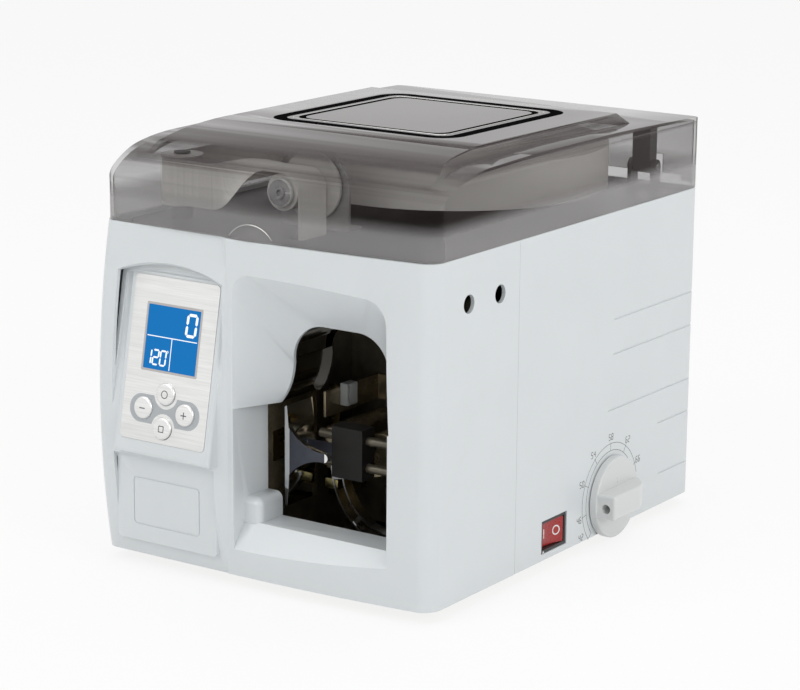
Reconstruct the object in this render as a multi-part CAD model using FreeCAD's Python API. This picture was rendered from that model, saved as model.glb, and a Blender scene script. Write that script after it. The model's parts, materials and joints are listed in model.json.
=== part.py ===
"""Countertop banknote strapping machine: moulded case, smoked lid, paper tape supply and strapping gear.

Modelled in the case frame: x = 0 on the case's middle plane, y = 0 half way along its straight sides,
z = 0 on the case's lower edge, +X to the viewer's right, -Y out of the front, +Z up. write_node moves
every piece into the row frame, whose origin is the bottom centre of the whole object's box.
"""
import FreeCAD, Part
import math
import os

from FreeCAD import Vector

# Case
CASE_WIDTH = 255.0
CASE_HEIGHT = 220.0
CASE_REAR = 166.5
WALL = 2.6
SEAM_Y = -69.0
SEAM_GAP = 0.4
FACE_Y = -174.8
FACE_RIGHT_Y = -167.6
FRONT_RIGHT_RADIUS = 12.0
FRONT_LEFT_RADIUS = 10.0
REAR_RADIUS = 9.0
FOOT_RADIUS = 11.0
FOOT_HEIGHT = 8.0
FOOT_INSET_X = 36.0
FOOT_INSET_FRONT = 52.0
FOOT_INSET_REAR = 34.0
GROOVE_DEPTH = 0.8
GROOVE_HEIGHT = 1.2
GROOVE_LEVELS = ((146.5, 52.0), (122.5, 52.0), (84.0, 47.0), (60.5, 116.0), (23.5, 119.0))

# Bulged control column on the left of the front
COLUMN_RIGHT = -33.0
COLUMN_SLOPE_X = 9.5
COLUMN_TOP_Y = -171.0
COLUMN_MID_Y = -183.1
COLUMN_FOOT_Y = -174.0
WEDGE_LEFT = -106.5
WEDGE_RIGHT = -28.0
WEDGE_TOP_Z = 190.0
WEDGE_TOP_Y = -168.0
WEDGE_FOOT_Z = 72.0
WEDGE_FOOT_Y = -190.0
WEDGE_DEPTH = 6.0
WEDGE_EDGE = 3.0
POCKET_LEFT = -110.0
POCKET_RIGHT = -26.5
POCKET_EDGE_Z = 192.5
POCKET_ARCH_Z = 203.5
PAD_LEFT = -112.0
PAD_RIGHT = -30.0
PAD_BOTTOM = 10.5
PAD_TOP = 69.0
PAD_Y = -178.6
PAD_RADIUS = 3.0
LABEL_LEFT = -98.5
LABEL_RIGHT = -43.5
LABEL_BOTTOM = 21.5
LABEL_TOP = 54.0
LABEL_GROOVE = 0.9
LABEL_DEPTH = 0.5

# Throat: a funnel in the front with a bell-shaped opening behind it
FUNNEL_LEFT = -20.0
FUNNEL_RIGHT = 99.0
FUNNEL_TOP = 199.5
FUNNEL_RADIUS = 13.0
OPENING_Y = -143.0
OPENING_LEFT = -17.3
OPENING_RIGHT = 95.0
LEDGE_Z = 110.0
SILL_Z = 34.0
SILL_CREST_Y = -163.0
SILL_FOOT_Z = 17.5
BELL_NECK_LEFT = -5.5
BELL_CENTRE = 42.0
BELL_HALF_WIDTH = 36.5
BELL_SHOULDER_Z = 138.0
BELL_TOP_Z = 164.3
BELL_RADIUS = 23.0
STEP_RIGHT = -5.5
STEP_TOP = 50.0
STEP_RADIUS = 5.0

# Lid
LID_WALL = 2.2
LID_SEAT_GAP = 0.3
LID_SKIRT = 23.0
LID_REAR_RISE = 48.5
LID_CREST_RISE = 51.5
LID_SIDE_RADIUS = 9.0
LID_REAR_LIFT = 7.0
DECKLE_HALF = 101.0
DECKLE_FOOT_HALF = 110.0
DECKLE_RISE = 6.7
DECKLE_SHOULDER = 10.2
DECKLE_REAR = 94.0
LID_LEFT_Y = -170.5
LID_MID_Y = -172.5
LID_RIGHT_Y = -165.5
LID_CORNER = 11.0
GRIP_X = -6.0
GRIP_BULGE = 4.5
GRIP_FACE_RADIUS = 20.0
GRIP_DROP = 10.0
INLAY_HALF_X = 74.0
INLAY_HALF_Y = 76.0
INLAY_Y = 6.0
INLAY_BAND = 9.0
INLAY_GAP = 4.0
INLAY_RADIUS = 18.0
INLAY_THICK = 0.5

# Lid hinge
HINGE_Y = 157.0
HINGE_RISE = 12.0
HINGE_X = 88.0
HINGE_PIN_RADIUS = 2.5
HINGE_RUNNING = 0.05
HINGE_ARM_WIDTH = 14.0
HINGE_EAR = 3.0
HINGE_SIDE_GAP = 0.5

# Decks and frames
BASE_TOP = 3.5
BASE_THICK = 2.0
CASE_CLEAR = 0.3
DECK_DROP = 3.0
DECK_THICK = 3.0
LEFT_FRAME_X = -22.0
RIGHT_FRAME_X = 104.0
FRAME_THICK = 3.0
FRAME_FRONT = -138.0
FRAME_REAR = 110.0
FRAME_FLANGE = 12.0
FRAME_FLANGE_THICK = 2.0
BULKHEAD_Y = -40.0
REAR_BULKHEAD_Y = 100.0
BULKHEAD_THICK = 3.0
SCREW_RADIUS = 2.0
SCREW_HOLE_RADIUS = 2.2
SCREW_HEAD_RADIUS = 3.6
SCREW_HEAD_HEIGHT = 2.2

# Paper tape and its rollers
TAPE_WIDTH = 30.0
TAPE_THICK = 0.3
TAPE_X = 4.0
TAPE_Y = -121.0
TAPE_END_Z = 172.0
ROLL_X = 2.0
ROLL_Y = 40.0
ROLL_RADIUS = 108.0
ROLL_RISE = 11.0
CORE_RADIUS = 30.0
CORE_WALL = 3.0
HUB_FLANGE_RADIUS = 55.0
HUB_FLANGE_THICK = 3.0
SPINDLE_RADIUS = 8.0
RUNNING = 0.08
SIDE_ROLLER_X = -99.0
SIDE_ROLLER_Y = -124.0
SIDE_ROLLER_RADIUS = 13.0
SIDE_ROLLER_RISE = 9.5
SIDE_ROLLER_HEIGHT = 33.0
SIDE_FLANGE = 1.0
SIDE_FLANGE_THICK = 1.4
SIDE_AXLE_RADIUS = 3.0
TOP_ROLLER_RADIUS = 12.0
TOP_ROLLER_RISE = 28.4
TOP_FLANGE_RADIUS = 22.5
TOP_FLANGE_THICK = 2.5
TOP_AXLE_RADIUS = 3.0
CAP_RADIUS = 9.4
CAP_THICK = 2.5
BRACKET_THICK = 3.0
FEED_DROP = 27.0
FEED_RADIUS = 12.0
PINCH_RADIUS = 10.0
FEED_SHAFT_RADIUS = 4.0
PINCH_SHAFT_RADIUS = 3.0
FEED_MOTOR_RADIUS = 13.0
FEED_MOTOR_LENGTH = 46.0

# Bundle gap, clamp, heater and knife
ANVIL_THICK = 3.0
ANVIL_BOTTOM = 32.0
ANVIL_TOP = 108.0
ANVIL_REAR = -84.0
BLADE_LEFT = -7.0
BLADE_THICK = 3.6
BLADE_BOTTOM = 39.0
BLADE_TOP = 106.5
BLADE_FRONT = -136.0
BLADE_REAR = -108.0
FIN_TIP_X = 27.0
FIN_Z = 76.0
FIN_HALF_ROOT = 16.0
FIN_HALF_TIP = 3.0
FIN_THICK = 4.0
CLAMP_TRAVEL = 9.0
ROD_RADIUS = 3.0
ROD_Y = -112.0
ROD_LOW_Z = 67.0
ROD_HIGH_Z = 85.0
CARRIAGE_LEFT = 18.0
CARRIAGE_RIGHT = 42.0
CARRIAGE_DEPTH = 14.0
HEAD_TRAVEL = 1.8
HEAD_HALF_Y = 11.0
HEAD_HALF_Z = 10.0
HEAD_BLOCK_HALF_Y = 14.0
HEAD_BLOCK_HALF_Z = 20.0
HEAD_BLOCK_LENGTH = 16.0
HEAD_FREE = 10.2
HEAD_PIN_RADIUS = 2.5
HEAD_BRACKET_X = -70.0
KNIFE_Y = -94.0
KNIFE_THICK = 1.2
KNIFE_HALF_Z = 12.0
KNIFE_TRAVEL = 3.0
KNIFE_LENGTH = 33.0
SLOT_CLEAR = 0.5

# Cam shaft and drive
CAM_X = 66.0
CAM_Z = 42.0
CAM_SHAFT_RADIUS = 5.0
GEAR_MODULE = 1.0
CAM_GEAR_TEETH = 50
PINION_TEETH = 16
GEAR_WIDTH = 6.0
GEAR_GAP = 4.0
CAM_BASE_RADIUS = 9.0
CAM_LIFT = 4.0
CAM_WIDTH = 7.0
CAM_STATIONS = (-26.0, -8.0, 10.0)
CRANK_RADIUS = 25.0
CRANK_WIDTH = 6.0
CRANK_Y = -92.0
DRIVE_MOTOR_RADIUS = 16.0
DRIVE_MOTOR_LENGTH = 62.0
CLAMP_MOTOR_X = 36.0
CLAMP_MOTOR_Z = 70.0
CLAMP_MOTOR_RADIUS = 13.5
CLAMP_MOTOR_FRONT = -98.0

# Note stop and its dial
STOP_READING = 47.0
STOP_LEAST = 42.0
STOP_MOST = 70.0
STOP_THICK = 3.0
STOP_LEFT = -17.0
STOP_RIGHT = -8.0
DIAL_Y = 51.8
DIAL_Z = 23.8
DIAL_TEETH = 14
DIAL_SHAFT_RADIUS = 3.0
RACK_HEIGHT = 8.0
RACK_WIDTH = 7.0
RACK_REAR = 76.0
KNOB_RADIUS = 28.0
KNOB_DISC = 5.3
KNOB_GAP = 0.9
KNOB_PROUD = 19.5
GRIP_HALF = 8.2
GRIP_REAR = 28.2
POINTER_HOLE_RADIUS = 3.2
DIAL_BOSS_RADIUS = 7.0

# Control panel, keys, display
PLATE_WIDTH = 69.0
PLATE_HEIGHT = 107.0
PLATE_THICK = 0.8
PLATE_X = -67.0
PLATE_CENTRE_Z = 134.8
PLATE_RADIUS = 3.0
DISPLAY_WIDTH = 43.0
DISPLAY_HEIGHT = 42.0
DISPLAY_UP = 14.3
KEY_RADIUS = 7.3
KEY_CLEAR = 0.25
KEY_PROUD = 1.9
KEY_TRAVEL = 1.5
KEY_CENTRE_UP = -32.0
KEY_REACH_X = 17.0
KEY_REACH_UP = 11.2
KEY_STEM_RADIUS = 4.0
BOARD_DEPTH = 12.0
BOARD_THICK = 1.6

# Power switch, inlet, supply
SWITCH_Y = -20.2
SWITCH_Z = 15.7
SWITCH_LENGTH = 31.6
SWITCH_HEIGHT = 22.6
SWITCH_BEZEL = 2.2
SWITCH_DEPTH = 20.0
ROCKER_TILT = 7.0
ROCKER_CLEAR = 0.35
INLET_X = -82.0
INLET_Z = 34.0
INLET_WIDTH = 27.0
INLET_HEIGHT = 20.0
INLET_DEPTH = 22.0
SUPPLY_SIZE = (56.0, 44.0, 40.0)
SUPPLY_X = -112.0
SUPPLY_Y = 70.0

# Side access holes to the tape tension screws
ACCESS_RADIUS = 6.0
ACCESS_DROP = 0.4
ACCESS_FRONT_Y = -127.4
ACCESS_REAR_Y = -91.7
TENSION_RADIUS = 3.0
SPRING_RADIUS = 5.0
SPRING_WIRE = 0.6
SPRING_TURNS = 6

HALF = CASE_WIDTH / 2.0
LID_BOTTOM = CASE_HEIGHT + LID_SEAT_GAP
LID_SKIRT_Z = CASE_HEIGHT + LID_SKIRT
LID_REAR_Z = CASE_HEIGHT + LID_REAR_RISE
LID_CREST_Z = CASE_HEIGHT + LID_CREST_RISE
LID_REAR_EDGE = CASE_HEIGHT + LID_REAR_LIFT
DECKLE_Z = LID_CREST_Z + DECKLE_RISE
GRIP_CENTRE_Z = CASE_HEIGHT - GRIP_DROP
HINGE_Z = CASE_HEIGHT + HINGE_RISE
DECK_TOP = CASE_HEIGHT - DECK_DROP
ROLL_BOTTOM = DECK_TOP + ROLL_RISE
SIDE_ROLLER_BOTTOM = DECK_TOP + SIDE_ROLLER_RISE
TOP_ROLLER_Z = DECK_TOP + TOP_ROLLER_RISE
FEED_Z = DECK_TOP - FEED_DROP
ACCESS_Z = FEED_Z - ACCESS_DROP
WEDGE_TILT = math.degrees(math.atan2(WEDGE_TOP_Y - WEDGE_FOOT_Y, WEDGE_TOP_Z - WEDGE_FOOT_Z))
FRONT_OF_OBJECT = WEDGE_FOOT_Y
KNOB_FACE = HALF + KNOB_PROUD
ROW_SHIFT = Vector(-KNOB_PROUD / 2.0, -(FRONT_OF_OBJECT + CASE_REAR) / 2.0, FOOT_HEIGHT)
X_AXIS = Vector(1, 0, 0)
Y_AXIS = Vector(0, 1, 0)
Z_AXIS = Vector(0, 0, 1)


def box(x0, x1, y0, y1, z0, z1):
    """A block between the given limits."""
    return Part.makeBox(x1 - x0, y1 - y0, z1 - z0, Vector(x0, y0, z0))


def rod_x(y, z, radius, x0, x1):
    """A cylinder along X."""
    return Part.makeCylinder(radius, x1 - x0, Vector(x0, y, z), X_AXIS)


def rod_y(x, z, radius, y0, y1):
    """A cylinder along Y."""
    return Part.makeCylinder(radius, y1 - y0, Vector(x, y0, z), Y_AXIS)


def rod_z(x, y, radius, z0, z1):
    """A cylinder along Z."""
    return Part.makeCylinder(radius, z1 - z0, Vector(x, y, z0), Z_AXIS)


def in_plane(normal, a, b, height=0.0):
    """A point from its two coordinates in the plane square to an axis."""
    if normal == "x":
        return Vector(height, a, b)
    if normal == "y":
        return Vector(a, height, b)
    return Vector(a, b, height)


def outline(normal, points, height=0.0):
    """A closed wire. Each entry is a corner (a, b), or an arc's middle and end ((a, b), (a, b))."""
    edges = []
    last = in_plane(normal, *points[0], height)
    first = last
    for entry in list(points[1:]) + [points[0]]:
        if isinstance(entry[0], tuple):
            middle = in_plane(normal, *entry[0], height)
            end = in_plane(normal, *entry[1], height)
            edges.append(Part.Arc(last, middle, end).toShape())
        else:
            end = in_plane(normal, *entry, height)
            if end.distanceToPoint(last) > 1e-6:
                edges.append(Part.LineSegment(last, end).toShape())
        last = end
    assert last.distanceToPoint(first) < 1e-6
    return Part.Wire(edges)


def prism(normal, points, low, high):
    """A solid of constant section between two heights along an axis."""
    face = Part.Face(outline(normal, points, low))
    travel = {"x": X_AXIS, "y": Y_AXIS, "z": Z_AXIS}[normal]
    return face.extrude(travel * (high - low))


def round_rect(a0, a1, b0, b1, radius):
    """The corners and arcs of a rectangle with round corners."""
    k = radius * (1.0 - math.sqrt(0.5))
    return [
        (a0 + radius, b0),
        (a1 - radius, b0),
        ((a1 - k, b0 + k), (a1, b0 + radius)),
        (a1, b1 - radius),
        ((a1 - k, b1 - k), (a1 - radius, b1)),
        (a0 + radius, b1),
        ((a0 + k, b1 - k), (a0, b1 - radius)),
        (a0, b0 + radius),
        ((a0 + k, b0 + k), (a0 + radius, b0)),
    ]


def ring_z(x, y, inner, outer, z0, z1):
    """A tube along Z."""
    return rod_z(x, y, outer, z0, z1).cut(rod_z(x, y, inner, z0 - 1.0, z1 + 1.0))


def fuse(first, *others):
    """The union of the given shapes, with its split faces merged."""
    return first.fuse(list(others)).removeSplitter()


def group(*shapes):
    """Separate solids kept in one node."""
    solids = []
    for shape in shapes:
        solids.extend(shape.Solids)
    return Part.makeCompound(solids)


def fillet_edges(shape, radius, wanted):
    """Round the edges that the test picks out."""
    chosen = [edge for edge in shape.Edges if wanted(edge)]
    return shape.makeFillet(radius, chosen)


def write_node(name, shape):
    """Move a piece from the case frame to the row frame and write it."""
    placed = shape.copy()
    placed.translate(ROW_SHIFT)
    assert placed.isValid(), name
    placed.exportStep("parts/" + name + ".step")


def main_block(inset, low, high):
    """The case's straight-sided block with its crowned front and round corners."""
    half = HALF - inset
    front = FACE_Y + inset
    right = FACE_RIGHT_Y + inset
    rear = CASE_REAR - inset
    corner = FRONT_RIGHT_RADIUS - inset
    back = REAR_RADIUS - inset
    k = corner * (1.0 - math.sqrt(0.5))
    j = back * (1.0 - math.sqrt(0.5))
    left_front = COLUMN_TOP_Y + inset + 3.0
    return prism("z", [
        (-half, left_front + 20.0),
        (-half + 20.0, left_front),
        (COLUMN_RIGHT, left_front),
        (COLUMN_RIGHT + COLUMN_SLOPE_X, front),
        ((0.36 * HALF, front + 1.6), (half - corner, right)),
        ((half - k, right + k), (half, right + corner)),
        (half, rear - back),
        ((half - j, rear - j), (half - back, rear)),
        (-half + back, rear),
        ((-half + j, rear - j), (-half, rear - back)),
    ], low, high)


def column_block(inset, low, high):
    """The bulged left part of the front, round at its outer corner and sloped towards the funnel."""
    bulge = prism("x", [
        (SEAM_Y - 30.0, low),
        (COLUMN_FOOT_Y + inset, low),
        ((COLUMN_MID_Y + inset, CASE_HEIGHT / 2.0), (COLUMN_TOP_Y + inset, high)),
        (SEAM_Y - 30.0, high),
    ], -HALF + inset, COLUMN_RIGHT + COLUMN_SLOPE_X - inset)
    slope = prism("z", [
        (-HALF - 1.0, SEAM_Y - 30.0),
        (-HALF - 1.0, COLUMN_MID_Y - 5.0),
        (COLUMN_RIGHT - inset, COLUMN_MID_Y - 5.0),
        (COLUMN_RIGHT - inset, COLUMN_MID_Y - 1.0),
        (COLUMN_RIGHT + COLUMN_SLOPE_X - inset, FACE_Y),
        (COLUMN_RIGHT + COLUMN_SLOPE_X - inset, SEAM_Y - 30.0),
    ], low - 1.0, high + 1.0)
    block = bulge.common(slope)

    def outer_corner(edge):
        box_of = edge.BoundBox
        return box_of.XLength < 0.01 and box_of.XMin < -HALF + inset + 0.01 and \
            box_of.ZLength > high - low - 1.0 and box_of.YMin < COLUMN_TOP_Y + inset + 2.0

    return fillet_edges(block, FRONT_LEFT_RADIUS - inset, outer_corner)


def panel_y(z, behind=0.0):
    """Where the tilted panel's face, or a plane behind it, lies at a height."""
    slope = (WEDGE_TOP_Y - WEDGE_FOOT_Y) / (WEDGE_TOP_Z - WEDGE_FOOT_Z)
    return WEDGE_FOOT_Y + (z - WEDGE_FOOT_Z) * slope + behind


def behind_panel(behind, low, high, back, x0, x1):
    """The space behind the panel's plane between two heights."""
    return prism("x", [
        (back, low),
        (panel_y(low, behind), low),
        (panel_y(high, behind), high),
        (back, high),
    ], x0, x1)


def pocket_cutter():
    """The arched recess that the panel's upper half lies in, its roof sloping back."""
    reach = 1.2
    wires = []
    for y, grow, drop in ((COLUMN_MID_Y - 4.0, 2.0, -4.0), (WEDGE_TOP_Y + 3.0, -0.8, 13.0)):
        low_x = POCKET_LEFT - grow
        high_x = POCKET_RIGHT + grow
        middle = ((low_x + high_x) / 2.0, POCKET_ARCH_Z - drop)
        wires.append(outline("y", [
            (low_x, WEDGE_FOOT_Z + 20.0),
            (high_x, WEDGE_FOOT_Z + 20.0),
            (high_x, POCKET_EDGE_Z - drop * reach / 2.0),
            (middle, (low_x, POCKET_EDGE_Z - drop * reach / 2.0)),
        ], y))
    arch = Part.makeLoft(wires, True, True)
    front = prism("x", [
        (COLUMN_MID_Y - 10.0, WEDGE_FOOT_Z + 10.0),
        (panel_y(WEDGE_FOOT_Z + 10.0, 1.5), WEDGE_FOOT_Z + 10.0),
        (panel_y(CASE_HEIGHT, 1.5), CASE_HEIGHT),
        (COLUMN_MID_Y - 10.0, CASE_HEIGHT),
    ], -HALF, FUNNEL_LEFT)
    return arch.common(front)


def bell_points(grow):
    """The bell-shaped edge of the opening above the ledge, in X and Z."""
    left = BELL_CENTRE - BELL_HALF_WIDTH - grow
    right = BELL_CENTRE + BELL_HALF_WIDTH + grow
    neck = BELL_NECK_LEFT - grow
    far_neck = 2.0 * BELL_CENTRE - BELL_NECK_LEFT + grow
    top = BELL_TOP_Z + grow
    radius = BELL_RADIUS + grow
    k = radius * (1.0 - math.sqrt(0.5))
    flank = (BELL_SHOULDER_Z - LEDGE_Z) * 0.46
    return [
        (neck, LEDGE_Z),
        ((left - 3.2, LEDGE_Z + flank), (left, BELL_SHOULDER_Z)),
        ((left + k, top - k), (left + radius, top)),
        (right - radius, top),
        ((right - k, top - k), (right, BELL_SHOULDER_Z)),
        ((right + 3.2, LEDGE_Z + flank), (far_neck, LEDGE_Z)),
    ]


def funnel_front_points(grow):
    """The funnel's edge in the face above the ledge, with as many stretches as the bell."""
    left = FUNNEL_LEFT - grow
    right = FUNNEL_RIGHT + grow
    top = FUNNEL_TOP + grow
    radius = FUNNEL_RADIUS + grow
    k = radius * (1.0 - math.sqrt(0.5))
    return [
        (left, LEDGE_Z),
        (left, top - radius),
        ((left + k, top - k), (left + radius, top)),
        (right - radius, top),
        ((right - k, top - k), (right, top - radius)),
        (right, LEDGE_Z),
    ]


def funnel_space(grow, rear):
    """The funnel's hollow, or with grow the outside of its wall."""
    upper = Part.makeLoft([
        outline("y", funnel_front_points(grow), FACE_Y - 1.0),
        outline("y", bell_points(grow), OPENING_Y),
    ], True, True)
    parts = [
        upper,
        prism("y", funnel_front_points(grow), FACE_Y - 12.0, FACE_Y - 1.0),
        prism("y", bell_points(grow), OPENING_Y, rear),
        box(OPENING_LEFT - grow, OPENING_RIGHT + grow, OPENING_Y - 5.0, rear, SILL_Z - grow, LEDGE_Z),
    ]
    flare = Part.makeLoft([
        outline("y", [(FUNNEL_LEFT - grow, SILL_Z - grow), (FUNNEL_RIGHT - 2.0 + grow, SILL_Z - grow),
                      (FUNNEL_RIGHT - 2.0 + grow, LEDGE_Z), (FUNNEL_LEFT - grow, LEDGE_Z)], FACE_Y - 12.0),
        outline("y", [(OPENING_LEFT - grow, SILL_Z - grow), (OPENING_RIGHT + grow, SILL_Z - grow),
                      (OPENING_RIGHT + grow, LEDGE_Z), (OPENING_LEFT - grow, LEDGE_Z)], OPENING_Y),
    ], True, True)
    parts.append(flare)
    parts.append(prism("x", [
        (SILL_CREST_Y + grow, SILL_Z + 1.0),
        (SILL_CREST_Y + grow, SILL_Z - grow),
        (FACE_Y + grow, SILL_FOOT_Z - grow),
        (FACE_Y - 12.0, SILL_FOOT_Z - grow),
        (FACE_Y - 12.0, SILL_Z + 1.0),
    ], FUNNEL_LEFT + 1.0 - grow, FUNNEL_RIGHT - 3.0 + grow))
    return fuse(*parts)


def throat_step():
    """The rounded block in the throat's lower left corner."""
    block = box(OPENING_LEFT - 6.0, STEP_RIGHT, SILL_CREST_Y - 1.0, OPENING_Y + WALL,
                SILL_Z - 1.0, STEP_TOP)

    def rounded(edge):
        near_top = edge.BoundBox.ZMin > STEP_TOP - 0.01 and edge.BoundBox.XMin > STEP_RIGHT - 0.01
        front_top = edge.BoundBox.ZMin > STEP_TOP - 0.01 and edge.BoundBox.YMax < SILL_CREST_Y
        upright = edge.BoundBox.ZLength > 5.0 and edge.BoundBox.XMin > STEP_RIGHT - 0.01 and \
            edge.BoundBox.YMax < SILL_CREST_Y
        return near_top or front_top or upright

    return fillet_edges(block, STEP_RADIUS, rounded)


def wedge_block():
    """The proud, tilted plateau that carries the control panel."""
    block = behind_panel(0.0, WEDGE_FOOT_Z, WEDGE_TOP_Z, WEDGE_TOP_Y + WEDGE_DEPTH,
                         WEDGE_LEFT, WEDGE_RIGHT)

    def rounded(edge):
        return edge.BoundBox.YMax < WEDGE_TOP_Y + 0.5

    return fillet_edges(block, WEDGE_EDGE, rounded)


def label_groove():
    """The fine rectangle scored into the lower pad."""
    outer = round_rect(LABEL_LEFT, LABEL_RIGHT, LABEL_BOTTOM, LABEL_TOP, PAD_RADIUS)
    inner = round_rect(LABEL_LEFT + LABEL_GROOVE, LABEL_RIGHT - LABEL_GROOVE,
                       LABEL_BOTTOM + LABEL_GROOVE, LABEL_TOP - LABEL_GROOVE, PAD_RADIUS - LABEL_GROOVE)
    return prism("y", outer, PAD_Y - 1.0, PAD_Y + LABEL_DEPTH).cut(
        prism("y", inner, PAD_Y - 2.0, PAD_Y + 1.0))


def on_panel(shape):
    """Lay a shape drawn upright about the origin, facing -Y, onto the tilted panel."""
    placed = shape.copy()
    placed.rotate(Vector(0, 0, 0), X_AXIS, -WEDGE_TILT)
    placed.translate(Vector(PLATE_X, panel_y(PLATE_CENTRE_Z), PLATE_CENTRE_Z))
    return placed


def key_places():
    """Each key's name and its place on the panel."""
    return {
        "button_clear": (0.0, KEY_CENTRE_UP + KEY_REACH_UP),
        "button_set": (0.0, KEY_CENTRE_UP - KEY_REACH_UP),
        "button_minus": (-KEY_REACH_X, KEY_CENTRE_UP),
        "button_plus": (KEY_REACH_X, KEY_CENTRE_UP),
    }


def key_cuts(radius):
    """Round holes for the four keys, through the plate and the case's wall."""
    return [rod_y(x, up, radius, -5.0, 12.0) for x, up in key_places().values()]


def make_front_shell():
    """The moulded front: bulged column, tilted panel seat, throat funnel and side access holes."""
    outside = fuse(main_block(0.0, 0.0, CASE_HEIGHT), column_block(0.0, 0.0, CASE_HEIGHT))
    inside = fuse(main_block(WALL, -1.0, CASE_HEIGHT + 1.0), column_block(WALL, -1.0, CASE_HEIGHT + 1.0))
    front_half = box(-HALF - 5.0, HALF + 5.0, FRONT_OF_OBJECT - 10.0, SEAM_Y - SEAM_GAP / 2.0,
                     -5.0, CASE_HEIGHT + 5.0)
    pocket = pocket_cutter()
    pad_cut = box(PAD_LEFT, PAD_RIGHT, COLUMN_MID_Y - 5.0, PAD_Y, PAD_BOTTOM, PAD_TOP)
    pad = prism("y", round_rect(PAD_LEFT, PAD_RIGHT, PAD_BOTTOM, PAD_TOP, PAD_RADIUS), PAD_Y,
                COLUMN_TOP_Y)
    backing = behind_panel(0.0, PAD_TOP - 4.0, WEDGE_TOP_Z + 16.0, WEDGE_TOP_Y + 5.0,
                           POCKET_LEFT - 3.0, POCKET_RIGHT + 1.5)
    backing = backing.common(outside)
    hollow = behind_panel(1.5 + WALL, PAD_TOP + 5.0, WEDGE_TOP_Z - 6.0, COLUMN_TOP_Y + 30.0,
                          WEDGE_LEFT + WALL, WEDGE_RIGHT - WALL)
    shell = outside.cut(inside)
    shell = fuse(shell, backing, pad.common(box(PAD_LEFT, PAD_RIGHT, PAD_Y - 1.0, COLUMN_TOP_Y, 0, 80)))
    shell = shell.cut([pocket, pad_cut])
    shell = fuse(shell, wedge_block(), pad)
    shell = shell.cut(hollow)
    tube = funnel_space(WALL, OPENING_Y + WALL).common(outside)
    shell = fuse(shell, tube)
    shell = shell.cut(funnel_space(0.0, OPENING_Y + 2.0 * WALL))
    step = throat_step()
    shell = fuse(shell, step)
    shell = shell.common(front_half)
    shell = shell.cut([
        label_groove(),
        rod_x(ACCESS_FRONT_Y, ACCESS_Z, ACCESS_RADIUS, HALF - 10.0, HALF + 5.0),
        rod_x(ACCESS_REAR_Y, ACCESS_Z, ACCESS_RADIUS, HALF - 10.0, HALF + 5.0),
    ])
    seat = prism("y", round_rect(-PLATE_WIDTH / 2 - 0.15, PLATE_WIDTH / 2 + 0.15,
                                 -PLATE_HEIGHT / 2 - 0.15, PLATE_HEIGHT / 2 + 0.15,
                                 PLATE_RADIUS + 0.15), -3.0, 0.5)
    window = prism("y", round_rect(-DISPLAY_WIDTH / 2 + 1.5, DISPLAY_WIDTH / 2 - 1.5,
                                   DISPLAY_UP - DISPLAY_HEIGHT / 2 + 1.5,
                                   DISPLAY_UP + DISPLAY_HEIGHT / 2 - 1.5, 1.0), -3.0, 12.0)
    shell = shell.cut([on_panel(cut) for cut in [seat, window] + key_cuts(KEY_RADIUS + KEY_CLEAR)])
    return shell.removeSplitter()


def make_rear_shell():
    """The moulded rear: two sides and the back, with openings for switch, dial shaft and mains inlet."""
    shell = main_block(0.0, 0.0, CASE_HEIGHT).cut(main_block(WALL, -1.0, CASE_HEIGHT + 1.0))
    shell = shell.common(box(-HALF - 5.0, HALF + 5.0, SEAM_Y + SEAM_GAP / 2.0, CASE_REAR + 5.0,
                             -5.0, CASE_HEIGHT + 5.0))
    skin = main_block(-3.0, -1.0, CASE_HEIGHT + 1.0).cut(
        main_block(GROOVE_DEPTH, -2.0, CASE_HEIGHT + 2.0))
    cuts = []
    for level, start in GROOVE_LEVELS:
        for side in (-1.0, 1.0):
            reach = sorted((side * (HALF - REAR_RADIUS), side * (HALF + 4.0)))
            cuts.append(skin.common(box(reach[0], reach[1], start, CASE_REAR + 4.0,
                                        level - GROOVE_HEIGHT / 2.0, level + GROOVE_HEIGHT / 2.0)))
    cuts.append(box(HALF - 10.0, HALF + 5.0, SWITCH_Y - SWITCH_LENGTH / 2.0,
                    SWITCH_Y + SWITCH_LENGTH / 2.0, SWITCH_Z - SWITCH_HEIGHT / 2.0,
                    SWITCH_Z + SWITCH_HEIGHT / 2.0))
    cuts.append(rod_x(DIAL_Y, DIAL_Z, DIAL_BOSS_RADIUS, HALF - 10.0, HALF + 5.0))
    cuts.append(box(INLET_X - INLET_WIDTH / 2.0, INLET_X + INLET_WIDTH / 2.0, CASE_REAR - 10.0,
                    CASE_REAR + 5.0, INLET_Z - INLET_HEIGHT / 2.0, INLET_Z + INLET_HEIGHT / 2.0))
    return shell.cut(cuts)


def lid_plan(inset, low, high):
    """The lid's plan, following the case's rim."""
    half = HALF - inset
    corner = LID_CORNER - inset
    k = corner * (1.0 - math.sqrt(0.5))
    back = REAR_RADIUS - inset
    j = back * (1.0 - math.sqrt(0.5))
    left = LID_LEFT_Y + inset
    right = LID_RIGHT_Y + inset
    rear = CASE_REAR - inset
    return prism("z", [
        (-half, left + corner),
        ((-half + k, left + k), (-half + corner, left)),
        ((0.0, LID_MID_Y + inset), (half - corner, right)),
        ((half - k, right + k), (half, right + corner)),
        (half, rear - back),
        ((half - j, rear - j), (half - back, rear)),
        (-half + back, rear),
        ((-half + j, rear - j), (-half, rear - back)),
    ], low, high)


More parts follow.
